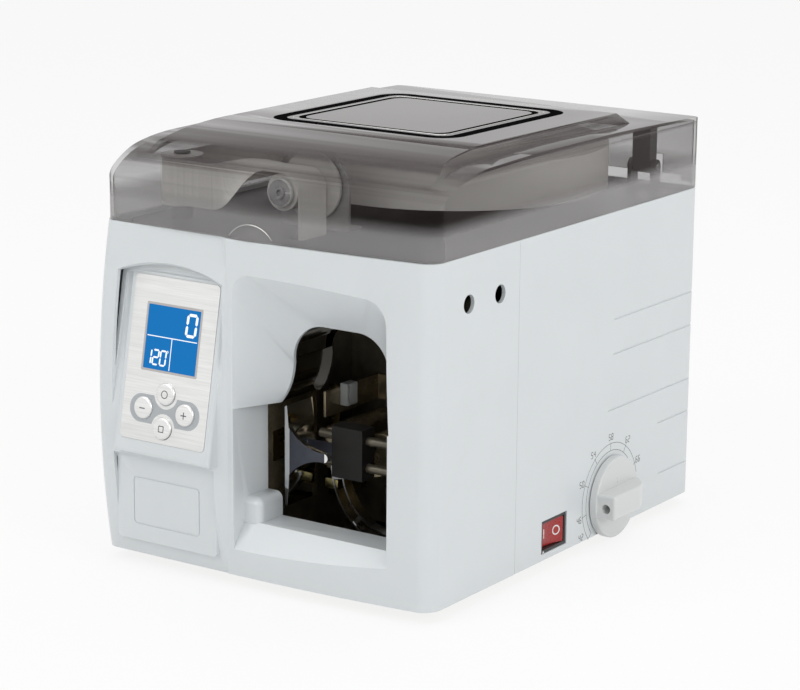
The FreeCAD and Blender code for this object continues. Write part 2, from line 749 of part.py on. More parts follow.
def lid_form(inset, bottom):
    """The lid's solid outline: low skirt, rounded brow, nearly flat top and the raised middle."""
    top = -inset
    side = prism("x", [
        (LID_MID_Y - 3.0 + inset, bottom),
        (LID_MID_Y - 3.0 + inset, LID_SKIRT_Z - 6.0),
        (LID_MID_Y - 0.5 + inset, LID_SKIRT_Z - 2.0 + top),
        ((-160.5 + inset * 0.7, LID_CREST_Z - 18.2 + top * 0.7),
         (-138.0 + inset * 0.4, LID_CREST_Z - 6.7 + top * 0.9)),
        ((-119.5, LID_CREST_Z - 2.9 + top), (-98.0, LID_CREST_Z - 1.3 + top)),
        ((20.0, LID_CREST_Z + top), (CASE_REAR + 5.0, LID_REAR_Z + top)),
        (CASE_REAR + 5.0, bottom),
    ], -HALF - 1.0, HALF + 1.0)
    crest = LID_CREST_Z + 1.0 + top
    radius = LID_SIDE_RADIUS - inset
    k = radius * (1.0 - math.sqrt(0.5))
    half = HALF - inset
    across = prism("y", [
        (-half, bottom - 1.0),
        (half, bottom - 1.0),
        (half, crest - radius),
        ((half - k, crest - k), (half - radius, crest)),
        (-half + radius, crest),
        ((-half + k, crest - k), (-half, crest - radius)),
    ], -HALF * 2.0, HALF * 2.0)
    form = side.common(across).common(lid_plan(inset, bottom, DECKLE_Z + 10.0))
    foot = LID_SKIRT_Z - 3.0
    rise_side = prism("x", [
        (-150.0, foot),
        (-157.5 + inset, DECKLE_Z - 25.6 + top),
        ((-139.0 + inset * 0.6, DECKLE_Z - 11.9 + top * 0.8), (-112.0, DECKLE_Z - 3.0 + top)),
        ((-88.0, DECKLE_Z - 0.7 + top), (-60.0, DECKLE_Z + top)),
        (DECKLE_REAR - inset, DECKLE_Z - 0.6 + top),
        (DECKLE_REAR + 9.0 - inset, DECKLE_Z - DECKLE_SHOULDER + top),
        (DECKLE_REAR + 9.0 - inset, foot),
    ], -HALF, HALF)
    edge = 3.0
    rise_across = prism("y", [
        (-DECKLE_FOOT_HALF + inset, foot),
        (DECKLE_FOOT_HALF - inset, foot),
        (DECKLE_FOOT_HALF - inset, DECKLE_Z - DECKLE_SHOULDER + top),
        (DECKLE_HALF + 1.2 - inset, DECKLE_Z - 2.4 + top),
        ((DECKLE_HALF - 0.4 - inset, DECKLE_Z - 0.6 + top), (DECKLE_HALF - edge - inset, DECKLE_Z + top)),
        (-DECKLE_HALF + edge + inset, DECKLE_Z + top),
        ((-DECKLE_HALF + 0.4 + inset, DECKLE_Z - 0.6 + top),
         (-DECKLE_HALF - 1.2 + inset, DECKLE_Z - 2.4 + top)),
        (-DECKLE_FOOT_HALF + inset, DECKLE_Z - DECKLE_SHOULDER + top),
    ], -HALF * 2.0, HALF * 2.0)
    return fuse(form, rise_side.common(rise_across))


def grip_dome(inset):
    """The shallow finger dome low on the lid's front."""
    radius = (GRIP_FACE_RADIUS ** 2 + GRIP_BULGE ** 2) / (2.0 * GRIP_BULGE)
    centre = Vector(GRIP_X, LID_MID_Y - GRIP_BULGE + radius, GRIP_CENTRE_Z)
    ball = Part.makeSphere(radius - inset, centre)
    return ball.common(box(-60.0, 60.0, LID_MID_Y - 20.0, LID_MID_Y + 12.0, LID_BOTTOM - 1.0, LID_SKIRT_Z))


def hinge_arm_spans():
    """The X limits of the two lid arms."""
    return [(side * HINGE_X - HINGE_ARM_WIDTH / 2.0, side * HINGE_X + HINGE_ARM_WIDTH / 2.0)
            for side in (-1.0, 1.0)]


def make_lid():
    """The smoked cover, cut away at the hinge arms and along the foot of its back wall."""
    outer = fuse(lid_form(0.0, LID_BOTTOM), grip_dome(0.0))
    outer = outer.common(box(-CASE_WIDTH, CASE_WIDTH, LID_MID_Y - 20.0, CASE_REAR + 10.0,
                             LID_BOTTOM, DECKLE_Z + 10.0))
    inner = fuse(lid_form(LID_WALL, LID_BOTTOM - 5.0), grip_dome(LID_WALL))
    lid = outer.cut(inner)
    swing = rod_x(HINGE_Y, HINGE_Z, HINGE_Z - LID_BOTTOM, -HALF - 1.0, HALF + 1.0)
    behind_pivot = box(-HALF - 1.0, HALF + 1.0, HINGE_Y, CASE_REAR + 1.0, LID_BOTTOM - 1.0, HINGE_Z)
    cuts = [behind_pivot.cut(swing),
            box(-HALF + 14.0, HALF - 14.0, CASE_REAR - LID_WALL - 1.0, CASE_REAR + 1.0,
                LID_BOTTOM - 1.0, LID_REAR_EDGE)]
    for x0, x1 in hinge_arm_spans():
        cuts.append(box(x0 - 3.5, x1 + 3.5, CASE_REAR - LID_WALL - 1.0, CASE_REAR + 1.0,
                        LID_BOTTOM - 1.0, HINGE_Z + 8.0))
    cuts.append(inlay_ring(INLAY_HALF_X + 0.1, INLAY_HALF_Y + 0.1, INLAY_BAND + 0.2, 2.0))
    inner_ring = INLAY_BAND + INLAY_GAP
    cuts.append(inlay_ring(INLAY_HALF_X - inner_ring + 0.1, INLAY_HALF_Y - inner_ring + 0.1,
                           INLAY_BAND / 2.0 + 0.2, 2.0))
    return lid.cut(cuts)


def inlay_ring(half_x, half_y, band, rise):
    """A rounded rectangular band lying on the lid's raised middle."""
    low = DECKLE_Z - INLAY_THICK - 0.6
    radius = INLAY_RADIUS * half_y / INLAY_HALF_Y
    outer = round_rect(-half_x, half_x, INLAY_Y - half_y, INLAY_Y + half_y, radius)
    inner = round_rect(-half_x + band, half_x - band, INLAY_Y - half_y + band, INLAY_Y + half_y - band,
                       max(radius - band, 1.0))
    return prism("z", outer, low, DECKLE_Z + rise).cut(prism("z", inner, low - 1.0, DECKLE_Z + rise + 1.0))


def make_lid_inlay():
    """Two black frame bands let into the lid's top, flush with it."""
    inner_ring = INLAY_BAND + INLAY_GAP
    bands = [inlay_ring(INLAY_HALF_X, INLAY_HALF_Y, INLAY_BAND, 2.0),
             inlay_ring(INLAY_HALF_X - inner_ring, INLAY_HALF_Y - inner_ring, INLAY_BAND / 2.0, 2.0)]
    return group(*[band.common(lid_form(0.0, LID_BOTTOM)) for band in bands])


def make_hinge_arms():
    """The two arms that hang from the lid's roof to the hinge pins."""
    arms = []
    roof = lid_form(LID_WALL, LID_BOTTOM)
    for x0, x1 in hinge_arm_spans():
        column = box(x0, x1, HINGE_Y - 5.0, HINGE_Y + 5.0, HINGE_Z, DECKLE_Z).common(roof)
        eye = rod_x(HINGE_Y, HINGE_Z, 5.0, x0, x1)
        arm = fuse(column, eye).cut(rod_x(HINGE_Y, HINGE_Z, HINGE_PIN_RADIUS + HINGE_RUNNING,
                                          x0 - 1.0, x1 + 1.0))
        arms.append(arm)
    return group(*arms)


def make_hinge_brackets():
    """Two forked brackets on the deck, each with a cheek on both sides of its arm."""
    brackets = []
    for x0, x1 in hinge_arm_spans():
        gap = HINGE_SIDE_GAP
        foot = box(x0 - gap - HINGE_EAR, x1 + gap + HINGE_EAR, HINGE_Y - 6.0, HINGE_Y + 5.5,
                   DECK_TOP, DECK_TOP + 3.0)
        ears = []
        for low, high in ((x0 - gap - HINGE_EAR, x0 - gap), (x1 + gap, x1 + gap + HINGE_EAR)):
            ear = box(low, high, HINGE_Y - 5.0, HINGE_Y + 5.0, DECK_TOP, HINGE_Z)
            ears.append(fuse(ear, rod_x(HINGE_Y, HINGE_Z, 5.0, low, high)))
        bracket = fuse(foot, *ears)
        brackets.append(bracket.cut(rod_x(HINGE_Y, HINGE_Z, HINGE_PIN_RADIUS, x0 - 9.0, x1 + 9.0)))
    return group(*brackets)


def make_hinge_pins():
    """The two headed pins that the lid turns on."""
    pins = []
    for x0, x1 in hinge_arm_spans():
        low = x0 - HINGE_SIDE_GAP - HINGE_EAR
        high = x1 + HINGE_SIDE_GAP + HINGE_EAR
        pins.append(fuse(rod_x(HINGE_Y, HINGE_Z, HINGE_PIN_RADIUS, low, high + 1.0),
                         rod_x(HINGE_Y, HINGE_Z, HINGE_PIN_RADIUS + 1.2, low - 1.2, low)))
    return group(*pins)


def foot_places():
    """The centres of the four feet."""
    return [(side * (HALF - FOOT_INSET_X), y) for side in (-1.0, 1.0)
            for y in (FACE_Y + FOOT_INSET_FRONT, CASE_REAR - FOOT_INSET_REAR)]


def screw_places():
    """Where the frames are screwed to the base."""
    left = LEFT_FRAME_X + FRAME_FLANGE / 2.0 + 1.0
    right = RIGHT_FRAME_X - FRAME_THICK - FRAME_FLANGE / 2.0 - 1.0
    return [(x, y) for x in (left, right) for y in (FRAME_FRONT + 40.0, 10.0, FRAME_REAR - 20.0)]


def make_base_plate():
    """The steel floor of the case."""
    plate = main_block(WALL + CASE_CLEAR, BASE_TOP - BASE_THICK, BASE_TOP)
    holes = [rod_z(x, y, SCREW_HOLE_RADIUS, 0.0, BASE_TOP + 1.0) for x, y in screw_places()]
    holes += [rod_z(x, y, SCREW_HOLE_RADIUS, 0.0, BASE_TOP + 1.0) for x, y in foot_places()]
    return plate.cut(holes)


def make_rubber_feet():
    """Four moulded feet, each with a recess and a stud pressed up through the base."""
    feet = []
    for x, y in foot_places():
        foot = Part.makeCone(FOOT_RADIUS - 1.5, FOOT_RADIUS, FOOT_HEIGHT + BASE_TOP - BASE_THICK,
                             Vector(x, y, -FOOT_HEIGHT), Z_AXIS)
        foot = foot.cut(rod_z(x, y, FOOT_RADIUS * 0.35, -FOOT_HEIGHT - 1.0, -FOOT_HEIGHT + 3.0))
        feet.append(fuse(foot, rod_z(x, y, SCREW_RADIUS, 0.0, BASE_TOP + 1.5)))
    return group(*feet)


def make_top_deck():
    """The dark deck under the lid, slotted where the tape goes down."""
    deck = main_block(WALL + CASE_CLEAR, DECK_TOP - DECK_THICK, DECK_TOP)
    slot = box(TAPE_X - 6.0, TAPE_X + 6.0, TAPE_Y - TAPE_WIDTH / 2.0 - 4.0,
               TAPE_Y + TAPE_WIDTH / 2.0 + 4.0, DECK_TOP - 10.0, DECK_TOP + 5.0)
    boss = rod_z(SIDE_ROLLER_X, SIDE_ROLLER_Y, 7.0, DECK_TOP, SIDE_ROLLER_BOTTOM - 0.5)
    axle = rod_z(SIDE_ROLLER_X, SIDE_ROLLER_Y, SIDE_AXLE_RADIUS, DECK_TOP,
                 SIDE_ROLLER_BOTTOM + SIDE_ROLLER_HEIGHT + 1.5)
    button = rod_z(SIDE_ROLLER_X, SIDE_ROLLER_Y, SIDE_AXLE_RADIUS + 2.5,
                   SIDE_ROLLER_BOTTOM + SIDE_ROLLER_HEIGHT + 0.3,
                   SIDE_ROLLER_BOTTOM + SIDE_ROLLER_HEIGHT + 1.5)
    return fuse(deck.cut(slot), boss, axle, button)


def frame_plate(x0, x1, front, rear):
    """An upright side plate."""
    return box(x0, x1, front, rear, BASE_TOP, DECK_TOP - DECK_THICK)


def make_left_frame():
    """The inner side frame, with windows for the heater, the knife and the dial shaft."""
    x0 = LEFT_FRAME_X - FRAME_THICK
    plate = frame_plate(x0, LEFT_FRAME_X, FRAME_FRONT, FRAME_REAR)
    flange = box(LEFT_FRAME_X - 1.0, LEFT_FRAME_X + FRAME_FLANGE, FRAME_FRONT + 30.0, FRAME_REAR - 10.0,
                 BASE_TOP, BASE_TOP + FRAME_FLANGE_THICK)
    cuts = [head_window(x0 - 1.0, LEFT_FRAME_X + 1.0), knife_window(x0 - 1.0, LEFT_FRAME_X + 1.0),
            rod_x(DIAL_Y, DIAL_Z, DIAL_SHAFT_RADIUS + HINGE_RUNNING, x0 - 1.0, LEFT_FRAME_X + 1.0)]
    cuts += [rod_z(x, y, SCREW_HOLE_RADIUS, 0.0, 10.0) for x, y in screw_places() if x < 0]
    return fuse(plate, flange).cut(cuts)


def make_right_frame():
    """The outer side frame, bored for the dial shaft and the two tension screws."""
    x0 = RIGHT_FRAME_X - FRAME_THICK
    plate = frame_plate(x0, RIGHT_FRAME_X, FRAME_FRONT, FRAME_REAR)
    flange = box(x0 - FRAME_FLANGE, x0 + 1.0, FRAME_FRONT + 30.0, FRAME_REAR - 10.0,
                 BASE_TOP, BASE_TOP + FRAME_FLANGE_THICK)
    cuts = [rod_x(DIAL_Y, DIAL_Z, DIAL_SHAFT_RADIUS + HINGE_RUNNING, x0 - 1.0, RIGHT_FRAME_X + 1.0)]
    cuts += [rod_x(y, ACCESS_Z, TENSION_RADIUS, x0 - 1.0, RIGHT_FRAME_X + 1.0)
             for y in (ACCESS_FRONT_Y, ACCESS_REAR_Y)]
    cuts += [rod_z(x, y, SCREW_HOLE_RADIUS, 0.0, 10.0) for x, y in screw_places() if x > 0]
    return fuse(plate, flange).cut(cuts)


def make_frame_screws():
    """Six screws up through the base into the frames' feet."""
    screws = []
    for x, y in screw_places():
        head = rod_z(x, y, SCREW_HEAD_RADIUS, BASE_TOP - BASE_THICK - SCREW_HEAD_HEIGHT,
                     BASE_TOP - BASE_THICK)
        shank = rod_z(x, y, SCREW_RADIUS, BASE_TOP - BASE_THICK - 0.5, BASE_TOP + FRAME_FLANGE_THICK + 3.0)
        nut = rod_z(x, y, SCREW_HEAD_RADIUS, BASE_TOP + FRAME_FLANGE_THICK,
                    BASE_TOP + FRAME_FLANGE_THICK + 2.5)
        screws.append(fuse(head, shank, nut))
    return group(*screws)


def head_window(x0, x1):
    """The window that the heater's nose passes through."""
    c = SLOT_CLEAR
    return box(x0, x1, TAPE_Y - HEAD_HALF_Y - c, TAPE_Y + HEAD_HALF_Y + c,
               FIN_Z - HEAD_HALF_Z - c, FIN_Z + HEAD_HALF_Z + c)


def knife_window(x0, x1):
    """The slit that the knife passes through."""
    c = SLOT_CLEAR
    return box(x0, x1, KNIFE_Y - KNIFE_THICK / 2.0 - c, KNIFE_Y + KNIFE_THICK / 2.0 + c,
               FIN_Z - KNIFE_HALF_Z - c, FIN_Z + KNIFE_HALF_Z + c)


def make_anvil_plate():
    """The plate on the left of the bundle gap that the clamp presses against."""
    x0 = LEFT_FRAME_X
    plate = box(x0, x0 + ANVIL_THICK, FRAME_FRONT, ANVIL_REAR, ANVIL_BOTTOM, ANVIL_TOP)
    return plate.cut([head_window(x0 - 1.0, x0 + ANVIL_THICK + 1.0),
                      knife_window(x0 - 1.0, x0 + ANVIL_THICK + 1.0)])


def bulkhead(y0, cuts):
    """A cross plate between the side frames."""
    plate = box(LEFT_FRAME_X, RIGHT_FRAME_X - FRAME_THICK, y0, y0 + BULKHEAD_THICK,
                BASE_TOP + FRAME_FLANGE_THICK, DECK_TOP - DECK_THICK)
    return plate.cut(cuts)


def rack_window(y0, y1):
    """The window that the note stop's bar slides through."""
    c = SLOT_CLEAR
    low = DIAL_Z + GEAR_MODULE * DIAL_TEETH / 2.0 - GEAR_MODULE * 1.25
    return box(STOP_LEFT - c, STOP_LEFT + RACK_WIDTH + c, y0, y1, low - c,
               DIAL_Z + GEAR_MODULE * DIAL_TEETH / 2.0 + RACK_HEIGHT + c)


def motor_pinion_z():
    """The height of the drive motor's axis above the cam shaft."""
    return CAM_Z + GEAR_MODULE * (CAM_GEAR_TEETH + PINION_TEETH) / 2.0


def make_front_bulkhead():
    """The front cross plate, with bearings for the cam and feed shafts and the motors' noses."""
    y0 = BULKHEAD_Y - 1.0
    y1 = BULKHEAD_Y + BULKHEAD_THICK + 1.0
    return bulkhead(BULKHEAD_Y, [
        rod_y(CAM_X, CAM_Z, CAM_SHAFT_RADIUS + HINGE_RUNNING, y0, y1),
        rod_y(CAM_X, motor_pinion_z(), 4.0, y0, y1),
        rod_y(feed_x(), FEED_Z, FEED_SHAFT_RADIUS + HINGE_RUNNING, y0, y1),
        rack_window(y0, y1),
    ])


def make_rear_bulkhead():
    """The rear cross plate, with the cam shaft's rear bearing."""
    y0 = REAR_BULKHEAD_Y - 1.0
    y1 = REAR_BULKHEAD_Y + BULKHEAD_THICK + 1.0
    return bulkhead(REAR_BULKHEAD_Y, [
        rod_y(CAM_X, CAM_Z, CAM_SHAFT_RADIUS + HINGE_RUNNING, y0, y1),
    ])


def feed_x():
    """The feed roller's axis, left of the tape."""
    return TAPE_X - TAPE_THICK / 2.0 - 0.05 - FEED_RADIUS


def pinch_x():
    """The pinch roller's axis, right of the tape."""
    return TAPE_X + TAPE_THICK / 2.0 + 0.05 + PINCH_RADIUS


def tape_low():
    """The height of the tape's lower edge on the roll."""
    return ROLL_BOTTOM


def make_tape_track():
    """The bell-shaped guide that turns the tape round the bundle, lipped to both side frames."""
    front = OPENING_Y + WALL + 0.5
    rear = TAPE_Y + TAPE_WIDTH / 2.0 + 1.0
    thick = 1.2
    clear = 1.0
    band = prism("y", bell_points(clear + thick), front, rear)
    space = fuse(prism("y", bell_points(clear), front - 1.0, rear + 1.0),
                 box(BELL_NECK_LEFT - clear, 2.0 * BELL_CENTRE - BELL_NECK_LEFT + clear, front - 1.0,
                     rear + 1.0, LEDGE_Z - 3.0, LEDGE_Z + 0.01))
    slot = box(TAPE_X - 2.0, TAPE_X + 2.0, TAPE_Y - TAPE_WIDTH / 2.0 - 1.0,
               TAPE_Y + TAPE_WIDTH / 2.0 + 2.0, BELL_SHOULDER_Z + 2.0, BELL_TOP_Z + 5.0)
    left_lip = box(LEFT_FRAME_X, BELL_NECK_LEFT - clear, front, rear, LEDGE_Z, LEDGE_Z + thick)
    right_lip = box(2.0 * BELL_CENTRE - BELL_NECK_LEFT + clear, RIGHT_FRAME_X - FRAME_THICK, front, rear,
                    LEDGE_Z, LEDGE_Z + thick)
    rear_flange = prism("y", bell_points(clear + thick), rear, rear + thick).cut(
        prism("y", bell_points(clear - 4.0), rear - 1.0, rear + 5.0)).cut(
        box(-50.0, 150.0, rear - 1.0, rear + 5.0, LEDGE_Z - 5.0, LEDGE_Z + 1.0))
    return fuse(band.cut([space, slot]), left_lip, right_lip, rear_flange)


def make_note_rail():
    """The folded rail behind the clamp blade, screwed to the front bulkhead."""
    x0 = BLADE_LEFT + BLADE_THICK + 2.4
    plate = box(x0, x0 + 2.0, BLADE_REAR + 6.0, BULKHEAD_Y, FIN_Z + 16.0, ANVIL_TOP + 1.5)
    foot = box(x0, x0 + 14.0, BULKHEAD_Y - 2.0, BULKHEAD_Y, FIN_Z + 16.0, ANVIL_TOP + 1.5)
    return fuse(plate, foot)


def make_note_sensor():
    """The clear bundle sensor clipped to the rail."""
    x0 = BLADE_LEFT + BLADE_THICK + 4.4
    block = box(x0, x0 + 7.0, BLADE_REAR + 22.0, BLADE_REAR + 33.0, FIN_Z + 21.0, FIN_Z + 36.0)

    def outer(edge):
        return edge.BoundBox.XMin > x0 + 6.9

    return fillet_edges(block, 1.5, outer)


def make_clamp_rods():
    """Two ground rods fixed in the right frame, on which the clamp slides."""
    low = BLADE_LEFT + BLADE_THICK + CLAMP_TRAVEL - 1.0
    return group(rod_x(ROD_Y, ROD_LOW_Z, ROD_RADIUS, low, RIGHT_FRAME_X - FRAME_THICK),
                 rod_x(ROD_Y, ROD_HIGH_Z, ROD_RADIUS, low, RIGHT_FRAME_X - FRAME_THICK))


def fin_points():
    """The clamp fin's outline: broad at the blade, drawn in along two hollow curves to a blunt tip."""
    root = BLADE_LEFT + BLADE_THICK - 0.5
    reach = FIN_TIP_X - root
    waist = (root + 0.42 * reach, FIN_HALF_TIP + 0.24 * (FIN_HALF_ROOT - FIN_HALF_TIP))
    return [
        (root, FIN_Z - FIN_HALF_ROOT),
        ((waist[0], FIN_Z - waist[1]), (FIN_TIP_X - FIN_HALF_TIP, FIN_Z - FIN_HALF_TIP)),
        ((FIN_TIP_X, FIN_Z), (FIN_TIP_X - FIN_HALF_TIP, FIN_Z + FIN_HALF_TIP)),
        ((waist[0], FIN_Z + waist[1]), (root, FIN_Z + FIN_HALF_ROOT)),
    ]


def make_clamp_jaw():
    """The plated clamp: upright blade, fin, neck and the carriage bored for its two rods."""
    right = BLADE_LEFT + BLADE_THICK
    blade = prism("y", [
        (BLADE_LEFT, BLADE_BOTTOM + 1.0),
        (BLADE_LEFT + 1.6, BLADE_BOTTOM),
        ((right, FIN_Z), (BLADE_LEFT + 1.6, BLADE_TOP)),
        (BLADE_LEFT, BLADE_TOP - 1.0),
    ], BLADE_FRONT, BLADE_REAR)
    fin = prism("y", fin_points(), BLADE_FRONT, BLADE_FRONT + FIN_THICK)
    neck = box(right - 0.8, CARRIAGE_LEFT + 1.0, ROD_Y - 4.0, ROD_Y + 4.0,
               ROD_LOW_Z + ROD_RADIUS + 1.5, ROD_HIGH_Z - ROD_RADIUS - 1.5)
    spine = box(BLADE_LEFT + 0.5, right + 3.0, ROD_Y - 4.0, ROD_Y + 4.0,
                ROD_LOW_Z + ROD_RADIUS + 1.5, ROD_HIGH_Z - ROD_RADIUS - 1.5)
    carriage = box(CARRIAGE_LEFT, CARRIAGE_RIGHT, ROD_Y - CARRIAGE_DEPTH / 2.0,
                   ROD_Y + CARRIAGE_DEPTH / 2.0, ROD_LOW_Z - 8.0, ROD_HIGH_Z + 8.0)
    jaw = fuse(blade, fin, spine, neck, carriage)
    bores = [rod_x(ROD_Y, z, ROD_RADIUS + HINGE_RUNNING, CARRIAGE_LEFT - 1.0, CARRIAGE_RIGHT + 1.0)
             for z in (ROD_LOW_Z, ROD_HIGH_Z)]
    return jaw.cut(bores)


def make_clamp_motor():
    """The clamp's geared motor, flanged to the front bulkhead."""
    body = rod_y(CLAMP_MOTOR_X, CLAMP_MOTOR_Z, CLAMP_MOTOR_RADIUS, CLAMP_MOTOR_FRONT, BULKHEAD_Y)
    nose = rod_y(CLAMP_MOTOR_X, CLAMP_MOTOR_Z, 4.0, CLAMP_MOTOR_FRONT - 4.0, CLAMP_MOTOR_FRONT)
    grooves = [ring_y(CLAMP_MOTOR_X, CLAMP_MOTOR_Z, CLAMP_MOTOR_RADIUS - 0.8, CLAMP_MOTOR_RADIUS + 2.0,
                      y, y + 2.0) for y in (CLAMP_MOTOR_FRONT + 8.0, BULKHEAD_Y - 12.0)]
    return fuse(body, nose).cut(grooves)


def ring_y(x, z, inner, outer, y0, y1):
    """A tube along Y."""
    return rod_y(x, z, outer, y0, y1).cut(rod_y(x, z, inner, y0 - 1.0, y1 + 1.0))


def head_left():
    """The heater block's left face."""
    return LEFT_FRAME_X - FRAME_THICK - HEAD_FREE - HEAD_TRAVEL - HEAD_BLOCK_LENGTH


def head_pin_places():
    """Where the heater's two guide pins run, in Y and Z."""
    dy = HEAD_BLOCK_HALF_Y - 4.0
    dz = HEAD_BLOCK_HALF_Z - 4.5
    return [(TAPE_Y - dy, FIN_Z - dz), (TAPE_Y + dy, FIN_Z + dz)]


def make_heater_block():
    """The heated sealing head: a block on two pins with a nose that reaches the tape."""
    x0 = head_left()
    block = box(x0, x0 + HEAD_BLOCK_LENGTH, TAPE_Y - HEAD_BLOCK_HALF_Y, TAPE_Y + HEAD_BLOCK_HALF_Y,
                FIN_Z - HEAD_BLOCK_HALF_Z, FIN_Z + HEAD_BLOCK_HALF_Z)
    nose = box(x0 + 1.0, LEFT_FRAME_X + ANVIL_THICK - 0.2, TAPE_Y - HEAD_HALF_Y, TAPE_Y + HEAD_HALF_Y,
               FIN_Z - HEAD_HALF_Z, FIN_Z + HEAD_HALF_Z)
    bores = [rod_x(y, z, HEAD_PIN_RADIUS + HINGE_RUNNING, x0 - 1.0, x0 + HEAD_BLOCK_LENGTH + 1.0)
             for y, z in head_pin_places()]
    return fuse(block, nose).cut(bores)


def make_head_bracket():
    """The upright behind the heater, its two guide pins and the knife's two guide blocks."""
    x0 = HEAD_BRACKET_X - FRAME_THICK
    face = LEFT_FRAME_X - FRAME_THICK
    plate = box(x0, HEAD_BRACKET_X, TAPE_Y - 18.0, TAPE_Y + 18.0, BASE_TOP, FIN_Z + 24.0)
    foot = box(x0 - 12.0, HEAD_BRACKET_X, TAPE_Y - 18.0, TAPE_Y + 18.0, BASE_TOP,
               BASE_TOP + FRAME_FLANGE_THICK)
    pins = [rod_x(y, z, HEAD_PIN_RADIUS, HEAD_BRACKET_X, face) for y, z in head_pin_places()]
    side = KNIFE_THICK / 2.0 + 0.3
    guides = [box(face - 18.0, face, KNIFE_Y + low, KNIFE_Y + high, FIN_Z - KNIFE_HALF_Z - 4.0,
                  FIN_Z + KNIFE_HALF_Z + 4.0) for low, high in ((-side - 3.6, -side), (side, side + 3.6))]
    return group(fuse(plate, foot), *pins, *guides)


def make_cutter_blade():
    """The knife that parts the tape, with a bevelled edge."""
    tip = LEFT_FRAME_X + ANVIL_THICK - 0.4
    tail = tip - KNIFE_LENGTH - KNIFE_TRAVEL
    t = KNIFE_THICK / 2.0
    return prism("z", [
        (tail, KNIFE_Y - t),
        (tip - 3.0, KNIFE_Y - t),
        (tip, KNIFE_Y),
        (tip - 3.0, KNIFE_Y + t),
        (tail, KNIFE_Y + t),
    ], FIN_Z - KNIFE_HALF_Z, FIN_Z + KNIFE_HALF_Z)


def involute(angle):
    """The involute function."""
    return math.tan(angle) - angle


def gear_outline(teeth, phase, axis, a, b, at):
    """A spur gear's outline with involute flanks, a tooth's middle at the given angle."""
    pitch = GEAR_MODULE * teeth / 2.0
    base = pitch * math.cos(math.radians(20.0))
    tip = pitch + GEAR_MODULE
    root = pitch - 1.25 * GEAR_MODULE
    slack = 0.12 / pitch
    half = math.pi / (2.0 * teeth) - slack / 2.0 + involute(math.radians(20.0))
    start = max(base, root + 0.05)
    flank = []
    for step in range(4):
        radius = start + (tip - start) * step / 3.0
        flank.append((radius, half - involute(math.acos(base / radius))))
    corners = []
    for tooth in range(teeth):
        middle = math.radians(phase) + 2.0 * math.pi * tooth / teeth
        corners.append((root, middle - flank[0][1]))
        corners += [(radius, middle - turn) for radius, turn in flank]
        corners += [(radius, middle + turn) for radius, turn in reversed(flank)]
        corners.append((root, middle + flank[0][1]))
    points = [(a + radius * math.cos(turn), b + radius * math.sin(turn)) for radius, turn in corners]
    return outline(axis, points, at)


def gear_y(x, z, teeth, phase, y0, y1, bore):
    """A spur gear on a shaft along Y; the angle runs from +X towards +Z."""
    face = Part.Face(gear_outline(teeth, phase, "y", x, z, y0))
    return face.extrude(Y_AXIS * (y1 - y0)).cut(rod_y(x, z, bore, y0 - 1.0, y1 + 1.0))


def gear_span():
    """Where the cam gear and its pinion run, in front of the bulkhead."""
    return BULKHEAD_Y - GEAR_GAP - GEAR_WIDTH, BULKHEAD_Y - GEAR_GAP


def make_cam_shaft():
    """The shaft that carries the crank disc, the gear and the cams."""
    shaft = rod_y(CAM_X, CAM_Z, CAM_SHAFT_RADIUS, CRANK_Y - 2.0, REAR_BULKHEAD_Y + BULKHEAD_THICK + 3.0)
    collar = rod_y(CAM_X, CAM_Z, CAM_SHAFT_RADIUS + 2.5, REAR_BULKHEAD_Y - 5.0, REAR_BULKHEAD_Y - 0.5)
    return fuse(shaft, collar)


def make_cam_gear():
    """The 50-tooth gear on the cam shaft."""
    y0, y1 = gear_span()
    gear = gear_y(CAM_X, CAM_Z, CAM_GEAR_TEETH, 90.0, y0, y1, CAM_SHAFT_RADIUS)
    pitch = GEAR_MODULE * CAM_GEAR_TEETH / 2.0
    holes = [rod_y(CAM_X + 0.6 * pitch * math.cos(math.radians(turn)),
                   CAM_Z + 0.6 * pitch * math.sin(math.radians(turn)), 0.2 * pitch, y0 - 1.0, y1 + 1.0)
             for turn in range(0, 360, 60)]
    return gear.cut(holes)


def make_cam_set():
    """The three cams that time the clamp, the heater and the knife."""
    cams = []
    for index, station in enumerate(CAM_STATIONS):
        turn = math.radians(90.0 + 120.0 * index)
        x = CAM_X + CAM_LIFT * 0.75 * math.cos(turn)
        z = CAM_Z + CAM_LIFT * 0.75 * math.sin(turn)
        cam = rod_y(x, z, CAM_BASE_RADIUS, station, station + CAM_WIDTH)
        cams.append(cam.cut(rod_y(CAM_X, CAM_Z, CAM_SHAFT_RADIUS, station - 1.0, station + CAM_WIDTH + 1.0)))
    return group(*cams)


def make_crank_disc():
    """The dished disc at the shaft's front end, with its crank pin."""
    disc = rod_y(CAM_X, CAM_Z, CRANK_RADIUS, CRANK_Y, CRANK_Y + CRANK_WIDTH)
    dish = ring_y(CAM_X, CAM_Z, CAM_SHAFT_RADIUS + 4.0, CRANK_RADIUS - 4.0, CRANK_Y - 1.0,
                  CRANK_Y + CRANK_WIDTH / 2.0)
    pin = rod_y(CAM_X - 0.62 * CRANK_RADIUS, CAM_Z, 3.0, CRANK_Y - 3.0, CRANK_Y + CRANK_WIDTH)
    bore = rod_y(CAM_X, CAM_Z, CAM_SHAFT_RADIUS, CRANK_Y - 5.0, CRANK_Y + CRANK_WIDTH + 1.0)
    return fuse(disc.cut(dish), pin).cut(bore)


def make_motor_pinion():
    """The 16-tooth pinion and its motor shaft."""
    y0, y1 = gear_span()
    z = motor_pinion_z()
    phase = 270.0 + 180.0 / PINION_TEETH
    gear = gear_y(CAM_X, z, PINION_TEETH, phase, y0, y1, 2.0)
    return fuse(gear, rod_y(CAM_X, z, 2.0, y0, BULKHEAD_Y + BULKHEAD_THICK + 10.0))


